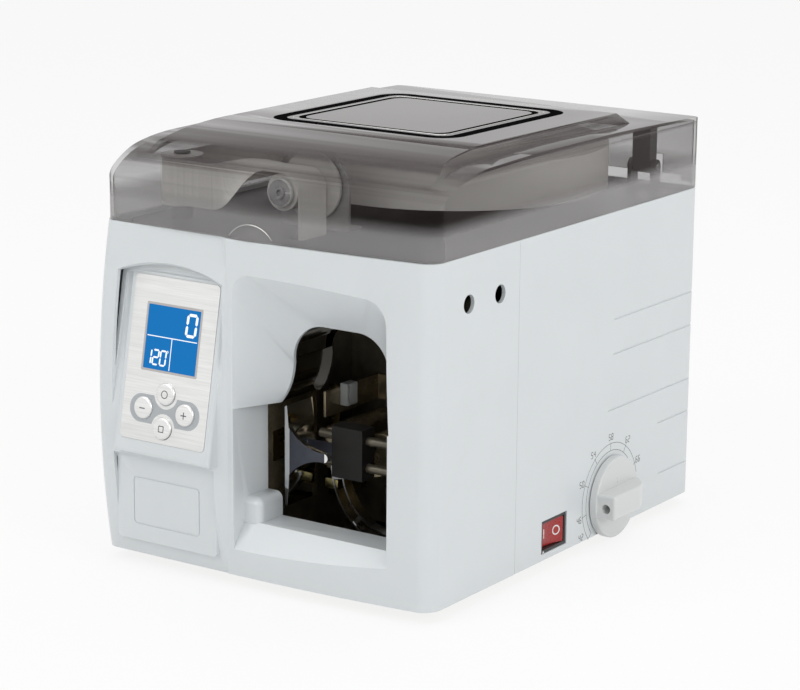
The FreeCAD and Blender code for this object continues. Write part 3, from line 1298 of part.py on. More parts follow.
def make_drive_motor():
    """The main motor behind the front bulkhead."""
    y0 = BULKHEAD_Y + BULKHEAD_THICK
    z = motor_pinion_z()
    can = rod_y(CAM_X, z, DRIVE_MOTOR_RADIUS, y0, y0 + DRIVE_MOTOR_LENGTH)
    cap = rod_y(CAM_X, z, DRIVE_MOTOR_RADIUS * 0.6, y0 + DRIVE_MOTOR_LENGTH,
                y0 + DRIVE_MOTOR_LENGTH + 4.0)
    return fuse(can, cap).cut([
        rod_y(CAM_X, z, 2.0 + HINGE_RUNNING, y0 - 1.0, y0 + 12.0),
        ring_y(CAM_X, z, DRIVE_MOTOR_RADIUS - 1.0, DRIVE_MOTOR_RADIUS + 2.0, y0 + 14.0, y0 + 16.0),
    ])


def make_feed_motor():
    """The small motor that turns the feed roller."""
    y0 = BULKHEAD_Y + BULKHEAD_THICK
    can = rod_y(feed_x(), FEED_Z, FEED_MOTOR_RADIUS, y0, y0 + FEED_MOTOR_LENGTH)
    return can.cut([
        rod_y(feed_x(), FEED_Z, FEED_SHAFT_RADIUS + HINGE_RUNNING, y0 - 1.0, y0 + 6.0),
        ring_y(feed_x(), FEED_Z, FEED_MOTOR_RADIUS - 1.0, FEED_MOTOR_RADIUS + 2.0, y0 + 10.0, y0 + 12.0),
    ])


def make_feed_roller():
    """The driven roller and its shaft."""
    roller = rod_y(feed_x(), FEED_Z, FEED_RADIUS, TAPE_Y - TAPE_WIDTH / 2.0, TAPE_Y + TAPE_WIDTH / 2.0)
    shaft = rod_y(feed_x(), FEED_Z, FEED_SHAFT_RADIUS, TAPE_Y - TAPE_WIDTH / 2.0 - 2.0,
                  BULKHEAD_Y + BULKHEAD_THICK + 4.0)
    return fuse(roller, shaft)


def make_pinch_roller():
    """The idle roller that holds the tape against the feed roller."""
    low = TAPE_Y - TAPE_WIDTH / 2.0
    high = TAPE_Y + TAPE_WIDTH / 2.0
    return fuse(rod_y(pinch_x(), FEED_Z, PINCH_RADIUS, low, high),
                rod_y(pinch_x(), FEED_Z, PINCH_SHAFT_RADIUS, low - 5.5, high + 5.5))


def yoke_web_x():
    """The pinch yoke's outer face, where the tension screws bear."""
    return pinch_x() + PINCH_RADIUS + 16.0


def make_pinch_yoke():
    """The yoke that carries the pinch roller, its web reaching both tension screws."""
    low = TAPE_Y - TAPE_WIDTH / 2.0
    high = TAPE_Y + TAPE_WIDTH / 2.0
    z0 = FEED_Z - 7.0
    z1 = FEED_Z + 7.0
    arms = [box(pinch_x() - 6.0, yoke_web_x(), y, y + 3.0, z0, z1) for y in (low - 5.0, high + 2.0)]
    web = box(yoke_web_x() - 4.0, yoke_web_x(), low - 5.0, ACCESS_REAR_Y + 7.0, z0, z1)
    bore = rod_y(pinch_x(), FEED_Z, PINCH_SHAFT_RADIUS + HINGE_RUNNING, low - 10.0, high + 10.0)
    return fuse(web, *arms).cut(bore)


def make_tension_screws():
    """Two screws through the right frame, reached through the case's two side holes."""
    screws = []
    for y in (ACCESS_FRONT_Y, ACCESS_REAR_Y):
        shank = rod_x(y, ACCESS_Z, TENSION_RADIUS, yoke_web_x(), RIGHT_FRAME_X + 1.0)
        head = rod_x(y, ACCESS_Z, TENSION_RADIUS + 2.2, RIGHT_FRAME_X, RIGHT_FRAME_X + 6.0)
        collar = rod_x(y, ACCESS_Z, SPRING_RADIUS + 1.5, yoke_web_x() + 26.0, yoke_web_x() + 29.0)
        slot = box(RIGHT_FRAME_X + 4.0, RIGHT_FRAME_X + 7.0, y - 6.0, y + 6.0, ACCESS_Z - 0.6,
                   ACCESS_Z + 0.6)
        screws.append(fuse(shank, head, collar).cut(slot))
    return group(*screws)


def make_tension_springs():
    """The two springs between the yoke and the screws' collars."""
    springs = []
    length = 26.0 - 2.0 * SPRING_WIRE - 0.2
    for y in (ACCESS_FRONT_Y, ACCESS_REAR_Y):
        helix = Part.makeHelix(length / SPRING_TURNS, length, SPRING_RADIUS)
        start = helix.Edges[0].valueAt(helix.Edges[0].FirstParameter)
        tangent = helix.Edges[0].tangentAt(helix.Edges[0].FirstParameter)
        wire = Part.Wire([Part.makeCircle(SPRING_WIRE, start, tangent)])
        spring = Part.Wire(helix.Edges).makePipeShell([wire], True, True)
        spring.rotate(Vector(0, 0, 0), Y_AXIS, 90.0)
        spring.translate(Vector(yoke_web_x() + SPRING_WIRE + 0.1, y, ACCESS_Z))
        springs.append(spring)
    return group(*springs)


def top_roller_x():
    """The top guide roller's axis, left of the falling tape."""
    return TAPE_X - TAPE_THICK / 2.0 - 0.05 - TOP_ROLLER_RADIUS


def make_top_guide_roller():
    """The roller that turns the tape down through the deck, flanged at its rear."""
    x = top_roller_x()
    low = TAPE_Y - TAPE_WIDTH / 2.0 - 0.5
    high = TAPE_Y + TAPE_WIDTH / 2.0 + 0.5
    drum = rod_y(x, TOP_ROLLER_Z, TOP_ROLLER_RADIUS, low, high)
    flange = rod_y(x, TOP_ROLLER_Z, TOP_FLANGE_RADIUS, high, high + TOP_FLANGE_THICK)
    return fuse(drum, flange).cut(rod_y(x, TOP_ROLLER_Z, TOP_AXLE_RADIUS + RUNNING, low - 1.0, high + 9.0))


def bracket_front():
    """The front face of the top roller's bracket."""
    return TAPE_Y + TAPE_WIDTH / 2.0 + 0.5 + TOP_FLANGE_THICK + 0.6


def make_roller_bracket():
    """The upright with a cut corner that carries the top roller's axle."""
    y0 = bracket_front()
    x = top_roller_x()
    plate = prism("y", [
        (x - 27.0, DECK_TOP),
        (x + 27.0, DECK_TOP),
        (x + 27.0, TOP_ROLLER_Z + 7.0),
        (x + 14.0, TOP_ROLLER_Z + 23.0),
        (x - 18.0, TOP_ROLLER_Z + 23.0),
        (x - 27.0, TOP_ROLLER_Z + 12.0),
    ], y0, y0 + BRACKET_THICK)
    foot = box(x - 27.0, x + 27.0, y0, y0 + 16.0, DECK_TOP, DECK_TOP + 2.0)
    axle = rod_y(x, TOP_ROLLER_Z, TOP_AXLE_RADIUS, TAPE_Y - TAPE_WIDTH / 2.0 - 1.1, y0 + 1.0)
    return fuse(plate, foot, axle)


def make_roller_cap():
    """The disc that keeps the roller on its axle, and its socket screw."""
    x = top_roller_x()
    rear = TAPE_Y - TAPE_WIDTH / 2.0 - 1.1
    disc = rod_y(x, TOP_ROLLER_Z, CAP_RADIUS, rear - CAP_THICK, rear)

    def front_edge(edge):
        return edge.BoundBox.YMax < rear - CAP_THICK + 0.01

    disc = fillet_edges(disc, 0.8, front_edge).cut(
        rod_y(x, TOP_ROLLER_Z, 4.0, rear - CAP_THICK - 1.0, rear + 1.0))
    screw = rod_y(x, TOP_ROLLER_Z, 4.0, rear - CAP_THICK - 0.5, rear)
    socket = [(x + 2.2 * math.cos(math.radians(60.0 * k)),
               TOP_ROLLER_Z + 2.2 * math.sin(math.radians(60.0 * k))) for k in range(6)]
    return group(disc, screw.cut(prism("y", socket, rear - CAP_THICK - 2.0, rear - 1.0)))


def make_tape_spindle():
    """The post on the deck that the tape roll turns on."""
    x, y = ROLL_X, ROLL_Y
    hub_low = ROLL_BOTTOM - HUB_FLANGE_THICK
    return fuse(rod_z(x, y, 30.0, DECK_TOP, DECK_TOP + 3.0),
                rod_z(x, y, 14.0, DECK_TOP + 3.0, hub_low - 0.1),
                rod_z(x, y, SPINDLE_RADIUS, hub_low - 0.1, ROLL_BOTTOM + TAPE_WIDTH + 3.0),
                rod_z(x, y, SPINDLE_RADIUS + 4.0, ROLL_BOTTOM + TAPE_WIDTH + 0.3,
                      ROLL_BOTTOM + TAPE_WIDTH + 3.0))


def make_roll_hub():
    """The flanged hub under the roll."""
    x, y = ROLL_X, ROLL_Y
    low = ROLL_BOTTOM - HUB_FLANGE_THICK
    hub = fuse(rod_z(x, y, HUB_FLANGE_RADIUS, low, ROLL_BOTTOM),
               rod_z(x, y, CORE_RADIUS - CORE_WALL, ROLL_BOTTOM, ROLL_BOTTOM + TAPE_WIDTH))
    return hub.cut(rod_z(x, y, SPINDLE_RADIUS + RUNNING, low - 1.0, ROLL_BOTTOM + TAPE_WIDTH + 1.0))


def make_tape_core():
    """The board core inside the roll."""
    return ring_z(ROLL_X, ROLL_Y, CORE_RADIUS - CORE_WALL, CORE_RADIUS, ROLL_BOTTOM,
                  ROLL_BOTTOM + TAPE_WIDTH)


def make_tape_roll():
    """The wound paper tape."""
    return ring_z(ROLL_X, ROLL_Y, CORE_RADIUS, ROLL_RADIUS, ROLL_BOTTOM, ROLL_BOTTOM + TAPE_WIDTH)


def make_side_guide_roller():
    """The upright flanged roller at the front left."""
    x, y = SIDE_ROLLER_X, SIDE_ROLLER_Y
    low = SIDE_ROLLER_BOTTOM
    high = low + SIDE_ROLLER_HEIGHT
    flange = SIDE_ROLLER_RADIUS + SIDE_FLANGE
    roller = fuse(rod_z(x, y, SIDE_ROLLER_RADIUS, low, high),
                  rod_z(x, y, flange, low, low + SIDE_FLANGE_THICK),
                  rod_z(x, y, flange, high - SIDE_FLANGE_THICK, high))
    return roller.cut(rod_z(x, y, SIDE_AXLE_RADIUS + RUNNING, low - 1.0, high + 1.0))


def tape_section(centre, along, across):
    """A thin rectangle, the tape's section, from its centre, its width's and its thickness's directions."""
    w = TAPE_WIDTH / 2.0
    t = TAPE_THICK / 2.0
    corners = [centre + along * a + across * b for a, b in ((-w, -t), (w, -t), (w, t), (-w, t))]
    return Part.makePolygon(corners + [corners[0]])


def make_tape_strip():
    """The tape's free run: off the roll, round the side roller, a quarter twist, over and down."""
    low = tape_low()
    high = low + TAPE_WIDTH
    gap = 0.05 + TAPE_THICK / 2.0
    big = ROLL_RADIUS + gap
    small = SIDE_ROLLER_RADIUS + gap
    dx = SIDE_ROLLER_X - ROLL_X
    dy = SIDE_ROLLER_Y - ROLL_Y
    turn = math.atan2(dy, dx) - math.acos((big - small) / math.hypot(dx, dy))
    out = Vector(math.cos(turn), math.sin(turn), 0.0)
    leave = Vector(ROLL_X, ROLL_Y, (low + high) / 2.0) + out * big
    meet = Vector(SIDE_ROLLER_X, SIDE_ROLLER_Y, (low + high) / 2.0) + out * small
    pieces = [Part.makeLoft([tape_section(leave, Z_AXIS, out), tape_section(meet, Z_AXIS, out)],
                            True, True)]
    wrap = ring_z(SIDE_ROLLER_X, SIDE_ROLLER_Y, small - TAPE_THICK / 2.0, small + TAPE_THICK / 2.0,
                  low, high)
    reach = 3.0 * small
    quarter = prism("z", [
        (SIDE_ROLLER_X, SIDE_ROLLER_Y),
        (SIDE_ROLLER_X + reach * out.x, SIDE_ROLLER_Y + reach * out.y),
        (SIDE_ROLLER_X - reach, SIDE_ROLLER_Y - reach),
        (SIDE_ROLLER_X, SIDE_ROLLER_Y - reach),
    ], low - 1.0, high + 1.0)
    pieces.append(wrap.common(quarter))
    front_y = SIDE_ROLLER_Y - small
    twist_from = Vector(SIDE_ROLLER_X + 34.0, front_y, (low + high) / 2.0)
    over_z = TOP_ROLLER_Z + TOP_ROLLER_RADIUS + gap
    twist_to = Vector(top_roller_x() - 16.0, TAPE_Y, over_z)
    pieces.append(Part.makeLoft([
        tape_section(Vector(SIDE_ROLLER_X, front_y, (low + high) / 2.0), Z_AXIS, -Y_AXIS),
        tape_section(twist_from, Z_AXIS, -Y_AXIS)], True, True))
    wires = []
    steps = 8
    for step in range(steps + 1):
        share = step / steps
        ease = share * share * (3.0 - 2.0 * share)
        angle = math.pi / 2.0 * ease
        along = Z_AXIS * math.cos(angle) + Y_AXIS * math.sin(angle)
        across = -Y_AXIS * math.cos(angle) + Z_AXIS * math.sin(angle)
        centre = Vector(twist_from.x + (twist_to.x - twist_from.x) * share,
                        twist_from.y + (twist_to.y - twist_from.y) * ease,
                        twist_from.z + (twist_to.z - twist_from.z) * ease)
        wires.append(tape_section(centre, along, across))
    pieces.append(Part.makeLoft(wires, True, True))
    x = top_roller_x()
    y0 = TAPE_Y - TAPE_WIDTH / 2.0
    y1 = TAPE_Y + TAPE_WIDTH / 2.0
    t = TAPE_THICK / 2.0
    pieces.append(box(twist_to.x, x, y0, y1, over_z - t, over_z + t))
    bend = ring_y(x, TOP_ROLLER_Z, TOP_ROLLER_RADIUS + gap - t, TOP_ROLLER_RADIUS + gap + t, y0, y1)
    pieces.append(bend.common(box(x, x + 40.0, y0, y1, TOP_ROLLER_Z, TOP_ROLLER_Z + 40.0)))
    pieces.append(box(TAPE_X - t, TAPE_X + t, y0, y1, TAPE_END_Z, TOP_ROLLER_Z))
    return fuse(*pieces)


def make_panel_plate():
    """The brushed plate of the control panel, cut for display and keys."""
    plate = prism("y", round_rect(-PLATE_WIDTH / 2.0, PLATE_WIDTH / 2.0, -PLATE_HEIGHT / 2.0,
                                  PLATE_HEIGHT / 2.0, PLATE_RADIUS), 0.5 - PLATE_THICK, 0.5)
    window = display_block(0.0, -3.0, 3.0)
    return on_panel(plate.cut([window] + key_cuts(KEY_RADIUS + KEY_CLEAR)))


def display_block(inset, y0, y1):
    """A block of the display's size, drawn upright about the panel's centre."""
    return prism("y", round_rect(-DISPLAY_WIDTH / 2.0 + inset, DISPLAY_WIDTH / 2.0 - inset,
                                 DISPLAY_UP - DISPLAY_HEIGHT / 2.0 + inset,
                                 DISPLAY_UP + DISPLAY_HEIGHT / 2.0 - inset, 1.0), y0, y1)


def make_lcd_window():
    """The clear pane over the display."""
    return on_panel(display_block(0.1, -0.25, 0.45))


def make_display_board():
    """The panel's circuit board with its display module, four switches and four posts."""
    wall = 1.5 + WALL
    board = box(-32.0, 32.0, BOARD_DEPTH, BOARD_DEPTH + BOARD_THICK, -48.0, 46.0)
    module = box(-DISPLAY_WIDTH / 2.0 - 2.0, DISPLAY_WIDTH / 2.0 + 2.0, wall + 0.6, BOARD_DEPTH,
                 DISPLAY_UP - DISPLAY_HEIGHT / 2.0 - 1.0, DISPLAY_UP + DISPLAY_HEIGHT / 2.0 + 1.0)
    glass = display_block(1.8, 0.8, wall + 0.6)
    posts = [rod_y(x, z, 2.5, wall, BOARD_DEPTH) for x in (-28.5, 28.5) for z in (-44.0, 42.0)]
    switches = [box(x - 3.0, x + 3.0, BOARD_DEPTH - 2.6, BOARD_DEPTH, up - 3.0, up + 3.0)
                for x, up in key_places().values()]
    return on_panel(fuse(board, module, glass, *posts, *switches))


def make_button(name):
    """A round key with a domed top, a retaining rim and a stem."""
    x, up = key_places()[name]
    front = 0.5 - PLATE_THICK - KEY_PROUD
    wall = 1.5 + WALL
    cap = rod_y(x, up, KEY_RADIUS, front, wall + 0.3)

    def front_edge(edge):
        return edge.BoundBox.YMax < front + 0.01

    cap = fillet_edges(cap, KEY_PROUD * 0.75, front_edge)
    rim = rod_y(x, up, KEY_RADIUS + 1.2, wall + 0.3, wall + 1.3)
    stem = rod_y(x, up, KEY_STEM_RADIUS, wall + 1.3, BOARD_DEPTH - 2.6 - KEY_TRAVEL - 0.2)
    return on_panel(fuse(cap, rim, stem))


def make_switch_housing():
    """The power switch's housing, its bezel flush in the case's window."""
    y0 = SWITCH_Y - SWITCH_LENGTH / 2.0 + 0.1
    y1 = SWITCH_Y + SWITCH_LENGTH / 2.0 - 0.1
    z0 = SWITCH_Z - SWITCH_HEIGHT / 2.0 + 0.1
    z1 = SWITCH_Z + SWITCH_HEIGHT / 2.0 - 0.1
    body = box(HALF - SWITCH_DEPTH, HALF - 0.8, y0, y1, z0, z1)
    b = SWITCH_BEZEL
    cavity = box(rocker_x() - 8.0, HALF + 1.0, y0 + b, y1 - b, z0 + b, z1 - b)
    tabs = [box(HALF - SWITCH_DEPTH - 1.2, HALF - SWITCH_DEPTH + 1.0, SWITCH_Y + offset - 2.5,
                SWITCH_Y + offset + 2.5, SWITCH_Z - 0.4, SWITCH_Z + 0.4) for offset in (-7.0, 7.0)]
    bore = rod_z(rocker_x(), SWITCH_Y, 1.5 + HINGE_RUNNING, z0 + 0.8, z1 - 0.8)
    return fuse(body, *tabs).cut([cavity, bore])


def rocker_x():
    """The rocker's pivot."""
    return HALF - 7.5


def make_rocker():
    """The rocker key on its pivot pin, tilted with its rear end out."""
    long = SWITCH_LENGTH / 2.0 - 0.1 - SWITCH_BEZEL - 2.5 * ROCKER_CLEAR
    tall = SWITCH_HEIGHT / 2.0 - 0.1 - SWITCH_BEZEL - ROCKER_CLEAR
    key = prism("z", [
        (-4.0, -long),
        (5.4, -long),
        ((3.6, 0.0), (5.4, long)),
        (-4.0, long),
    ], -tall, tall)
    key = fuse(key, rod_z(0.0, 0.0, 1.5, -tall - 1.5, tall + 1.5))
    key.rotate(Vector(0, 0, 0), Z_AXIS, -ROCKER_TILT)
    key.translate(Vector(rocker_x(), SWITCH_Y, SWITCH_Z))
    return key


def make_power_inlet():
    """The mains inlet in the back wall, with its socket and three blades."""
    x0 = INLET_X - INLET_WIDTH / 2.0 + 0.15
    x1 = INLET_X + INLET_WIDTH / 2.0 - 0.15
    z0 = INLET_Z - INLET_HEIGHT / 2.0 + 0.15
    z1 = INLET_Z + INLET_HEIGHT / 2.0 - 0.15
    inner_face = CASE_REAR - WALL
    body = box(x0, x1, CASE_REAR - INLET_DEPTH, CASE_REAR, z0, z1)
    flange = box(x0 - 3.0, x1 + 3.0, inner_face - 2.0, inner_face, z0 - 2.0, z1 + 2.0)
    socket = prism("y", round_rect(x0 + 2.4, x1 - 2.4, z0 + 2.2, z1 - 2.2, 2.0), CASE_REAR - 16.0,
                   CASE_REAR + 1.0)
    blades = [box(INLET_X + x - 1.0, INLET_X + x + 1.0, CASE_REAR - 17.0, CASE_REAR - 3.0,
                  INLET_Z + z - 2.0, INLET_Z + z + 2.0) for x, z in ((-7.0, -1.5), (7.0, -1.5), (0.0, 2.5))]
    return fuse(fuse(body, flange).cut(socket), *blades)


def make_power_supply():
    """The mains transformer on the base: stacked core, bobbin and mounting feet."""
    width, depth, height = SUPPLY_SIZE
    x1 = SUPPLY_X + width
    y1 = SUPPLY_Y + depth
    core = box(SUPPLY_X, x1, SUPPLY_Y + 12.0, y1 - 12.0, BASE_TOP, BASE_TOP + height)
    coil = box(SUPPLY_X + 12.0, x1 - 12.0, SUPPLY_Y, y1, BASE_TOP + 7.0, BASE_TOP + height - 7.0)

    def upright(edge):
        return edge.BoundBox.ZLength > height - 20.0

    coil = fillet_edges(coil, 5.0, upright)
    foot = box(SUPPLY_X - 7.0, x1 + 7.0, SUPPLY_Y + 14.0, y1 - 14.0, BASE_TOP, BASE_TOP + 1.5)
    return fuse(core, coil, foot)


def make_dial_shaft():
    """The shaft from the left frame to the knob, with the pinion that drives the note stop."""
    shaft = rod_x(DIAL_Y, DIAL_Z, DIAL_SHAFT_RADIUS, LEFT_FRAME_X - 2.0, HALF + KNOB_GAP + KNOB_DISC + 2.0)
    face = Part.Face(gear_outline(DIAL_TEETH, 90.0, "x", DIAL_Y, DIAL_Z, STOP_LEFT))
    return fuse(shaft, face.extrude(X_AXIS * RACK_WIDTH))


def make_dial_knob():
    """The knob: a disc, a boss into the case and a long finger grip with a hollow tail."""
    x0 = HALF + KNOB_GAP
    x1 = x0 + KNOB_DISC
    disc = rod_x(DIAL_Y, DIAL_Z, KNOB_RADIUS, x0, x1)

    def face_edge(edge):
        return edge.BoundBox.XMin > x1 - 0.01

    disc = fillet_edges(disc, 1.2, face_edge)
    boss = rod_x(DIAL_Y, DIAL_Z, DIAL_BOSS_RADIUS - 0.3, HALF - WALL - 2.0, x0 + 1.0)
    front = DIAL_Y - KNOB_RADIUS + 1.0
    rear = DIAL_Y + GRIP_REAR - 0.8
    bend = DIAL_Y + 4.0
    drop = KNOB_FACE - x1 + 2.0
    radius = (drop ** 2 + (rear - bend) ** 2) / (2.0 * drop)
    half_turn = math.atan2(rear - bend, radius - drop) / 2.0
    middle = (KNOB_FACE - radius + radius * math.cos(half_turn), bend + radius * math.sin(half_turn))
    grip = prism("z", [
        (x1 - 2.0, front),
        (KNOB_FACE, front),
        (KNOB_FACE, bend),
        (middle, (x1 - 2.0, rear)),
    ], DIAL_Z - GRIP_HALF, DIAL_Z + GRIP_HALF)

    def outer_edge(edge):
        at = edge.BoundBox
        return at.XMax > x1 and not (at.ZLength > 1.0 and at.YMin > front + 1.0)

    grip = fillet_edges(grip, 1.6, outer_edge)
    hole = rod_y((x1 + KNOB_FACE) / 2.0, DIAL_Z - 1.0, POINTER_HOLE_RADIUS, front - 1.0, front + 12.0)
    bore = rod_x(DIAL_Y, DIAL_Z, DIAL_SHAFT_RADIUS, HALF - 10.0, x1 + 2.0)
    return fuse(disc, boss, grip).cut([hole, bore])


def rack_points():
    """The note stop's bar in Y and Z, toothed along its lower edge over the pinion's travel."""
    pitch_z = DIAL_Z + GEAR_MODULE * DIAL_TEETH / 2.0
    tip = pitch_z - 0.9 * GEAR_MODULE
    root = pitch_z + 1.25 * GEAR_MODULE
    pitch = math.pi * GEAR_MODULE
    slope = math.tan(math.radians(20.0))
    half_space = pitch / 4.0 + 0.04
    first = -int((STOP_MOST - STOP_READING + 6.0) / pitch) - 2
    last = int((STOP_READING - STOP_LEAST + 6.0) / pitch) + 2
    points = [(stop_front(), tip)]
    for index in range(first, last + 1):
        y = DIAL_Y + index * pitch
        low_half = half_space + slope * (pitch_z - tip)
        top_half = half_space - slope * (root - pitch_z)
        points += [(y - low_half, tip), (y - top_half, root), (y + top_half, root), (y + low_half, tip)]
    points += [(RACK_REAR, tip), (RACK_REAR, pitch_z + RACK_HEIGHT), (stop_front(), pitch_z + RACK_HEIGHT)]
    return points


def stop_front():
    """Where the note stop's paddle stands at the rest reading."""
    return TAPE_Y + STOP_READING


def make_note_stop():
    """The paddle that the bundle's end meets, on its toothed bar."""
    bar = prism("x", rack_points(), STOP_LEFT, STOP_LEFT + RACK_WIDTH)
    paddle = box(STOP_LEFT, STOP_RIGHT, stop_front(), stop_front() + STOP_THICK,
                 DIAL_Z + GEAR_MODULE * DIAL_TEETH / 2.0 + 1.0, ANVIL_TOP - 2.0)
    return fuse(bar, paddle)


NODES = {
    "base_plate": make_base_plate,
    "rubber_feet": make_rubber_feet,
    "front_shell": make_front_shell,
    "rear_shell": make_rear_shell,
    "top_deck": make_top_deck,
    "lid": make_lid,
    "lid_inlay": make_lid_inlay,
    "hinge_arms": make_hinge_arms,
    "hinge_brackets": make_hinge_brackets,
    "hinge_pins": make_hinge_pins,
    "left_frame": make_left_frame,
    "right_frame": make_right_frame,
    "front_bulkhead": make_front_bulkhead,
    "rear_bulkhead": make_rear_bulkhead,
    "frame_screws": make_frame_screws,
    "anvil_plate": make_anvil_plate,
    "tape_track": make_tape_track,
    "note_rail": make_note_rail,
    "note_sensor": make_note_sensor,
    "clamp_rods": make_clamp_rods,
    "clamp_jaw": make_clamp_jaw,
    "clamp_motor": make_clamp_motor,
    "head_bracket": make_head_bracket,
    "heater_block": make_heater_block,
    "cutter_blade": make_cutter_blade,
    "cam_shaft": make_cam_shaft,
    "cam_gear": make_cam_gear,
    "cam_set": make_cam_set,
    "crank_disc": make_crank_disc,
    "motor_pinion": make_motor_pinion,
    "drive_motor": make_drive_motor,
    "feed_motor": make_feed_motor,
    "feed_roller": make_feed_roller,
    "pinch_roller": make_pinch_roller,
    "pinch_yoke": make_pinch_yoke,
    "tension_screws": make_tension_screws,
    "tension_springs": make_tension_springs,
    "tape_spindle": make_tape_spindle,
    "roll_hub": make_roll_hub,
    "tape_core": make_tape_core,
    "tape_roll": make_tape_roll,
    "side_guide_roller": make_side_guide_roller,
    "top_guide_roller": make_top_guide_roller,
    "roller_bracket": make_roller_bracket,
    "roller_cap": make_roller_cap,
    "tape_strip": make_tape_strip,
    "panel_plate": make_panel_plate,
    "lcd_window": make_lcd_window,
    "display_board": make_display_board,
    "switch_housing": make_switch_housing,
    "rocker": make_rocker,
    "power_inlet": make_power_inlet,
    "power_supply": make_power_supply,
    "dial_shaft": make_dial_shaft,
    "dial_knob": make_dial_knob,
    "note_stop": make_note_stop,
}


def main():
    """Write every node."""
    os.makedirs("parts", exist_ok=True)
    for name, make in NODES.items():
        write_node(name, make())
    for name in key_places():
        write_node(name, make_button(name))


if __name__ == "__main__":
    main()
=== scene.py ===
"""Looks of a banknote strapping machine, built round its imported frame.

Every finish is procedural and reads Object coordinates, and every added piece sits at the place that the
frame gives. Lengths in the classes are millimetres in the case frame: x = 0 on the case's middle plane,
y = 0 half way along its straight sides, z = 0 on the case's lower edge.
"""

import json
import logging
import math
from collections.abc import Callable, Iterator
from contextlib import contextmanager
from dataclasses import dataclass, field
from enum import Enum

import bmesh
import bpy
import numpy as np
from mathutils import Matrix, Vector
from mathutils.bvhtree import BVHTree

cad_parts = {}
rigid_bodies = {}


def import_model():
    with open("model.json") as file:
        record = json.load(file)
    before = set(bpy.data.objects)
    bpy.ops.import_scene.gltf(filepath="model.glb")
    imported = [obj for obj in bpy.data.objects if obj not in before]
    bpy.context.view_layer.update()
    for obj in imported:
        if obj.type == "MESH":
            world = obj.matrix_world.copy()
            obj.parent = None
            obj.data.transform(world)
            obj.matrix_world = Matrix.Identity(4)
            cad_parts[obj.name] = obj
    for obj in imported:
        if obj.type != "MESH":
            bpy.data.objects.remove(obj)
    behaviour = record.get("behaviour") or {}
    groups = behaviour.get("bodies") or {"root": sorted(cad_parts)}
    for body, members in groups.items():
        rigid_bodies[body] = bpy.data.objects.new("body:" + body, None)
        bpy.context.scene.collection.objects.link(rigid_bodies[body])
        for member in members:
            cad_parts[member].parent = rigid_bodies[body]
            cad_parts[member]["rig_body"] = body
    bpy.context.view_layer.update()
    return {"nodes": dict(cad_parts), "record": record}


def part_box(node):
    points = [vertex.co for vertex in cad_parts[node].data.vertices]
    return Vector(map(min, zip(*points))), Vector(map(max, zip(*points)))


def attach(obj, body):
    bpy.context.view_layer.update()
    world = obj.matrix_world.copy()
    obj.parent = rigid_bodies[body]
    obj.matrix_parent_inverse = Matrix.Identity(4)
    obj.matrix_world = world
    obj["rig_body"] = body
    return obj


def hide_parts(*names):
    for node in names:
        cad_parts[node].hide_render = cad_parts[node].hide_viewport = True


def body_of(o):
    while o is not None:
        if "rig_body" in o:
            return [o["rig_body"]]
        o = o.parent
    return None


LOG = logging.getLogger("strapping_machine")
MM = 0.001
RIGHT, BACK, UP = Vector((1.0, 0.0, 0.0)), Vector((0.0, 1.0, 0.0)), Vector((0.0, 0.0, 1.0))

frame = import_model()


class Grain(Enum):
    """How a metal's fine lines run."""

    NONE = (1.0, 1.0, 1.0)
    ACROSS = (0.02, 1.0, 1.0)
    UPRIGHT = (1.0, 1.0, 0.02)
    TURNED = (1.0, 0.05, 1.0)


@dataclass(frozen=True)
class Datum:
    """The case frame's place in the row frame, read from the rear shell's box."""

    case_rear: float = 166.5

    def origin(self) -> Vector:
        """The case frame's origin in metres."""
        low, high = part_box("rear_shell")
        return Vector(((low.x + high.x) / 2.0, high.y - self.case_rear * MM, low.z))

    def at(self, x: float, y: float, z: float) -> Vector:
        """A case-frame point in metres of the row frame."""
        return self.origin() + Vector((x, y, z)) * MM

    def placed(self, points: np.ndarray) -> np.ndarray:
        """An array of case-frame points, in metres of the row frame."""
        return points * MM + np.array(self.origin())


DATUM = Datum()


def middle_of(node: str) -> Vector:
    """The middle of a CAD node's box."""
    return sum(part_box(node), Vector()) / 2.0


def surface_of(name: str) -> BVHTree:
    """A piece's surface, for laying marks on it."""
    mesh = bpy.data.objects[name].data
    return BVHTree.FromPolygons([v.co for v in mesh.vertices], [p.vertices[:] for p in mesh.polygons])


def of_faces(mesh: bpy.types.Mesh, what: str) -> np.ndarray:
    """A vector of each face, such as "normal" or "center", as faces x 3."""
    values = np.empty(len(mesh.polygons) * 3)
    mesh.polygons.foreach_get(what, values)
    return values.reshape(-1, 3)


@contextmanager
def edited(mesh: bpy.types.Mesh) -> Iterator[bmesh.types.BMesh]:
    """Open a mesh for editing, then write it back."""
    work = bmesh.new()
    work.from_mesh(mesh)
    yield work
    work.to_mesh(mesh)
    work.free()


def math_node(operation: str, turned: bool = False) -> Callable:
    """A method of a signal that adds one Math node; turned swaps its two values."""
    def apply(self: "Signal", other: object) -> "Signal":
        """The result of the operation on the signal and another one or a number."""
        pair = (other, self) if turned else (self, other)
        node = self.graph.node("ShaderNodeMath", {"operation": operation}, dict(enumerate(pair)))
        return self.graph.out(node)
    return apply


class Signal:
    """A shader socket whose Python operators add Math nodes."""

    def __init__(self, graph: "Graph", socket: bpy.types.NodeSocket) -> None:
        """Keep the graph and the output socket."""
        self.graph = graph
        self.socket = socket

    __add__ = math_node("ADD")
    __sub__ = math_node("SUBTRACT")
    __rsub__ = math_node("SUBTRACT", turned=True)
    __mul__ = math_node("MULTIPLY")
    __pow__ = math_node("POWER")
    smaller = math_node("MINIMUM")
    larger = math_node("MAXIMUM")


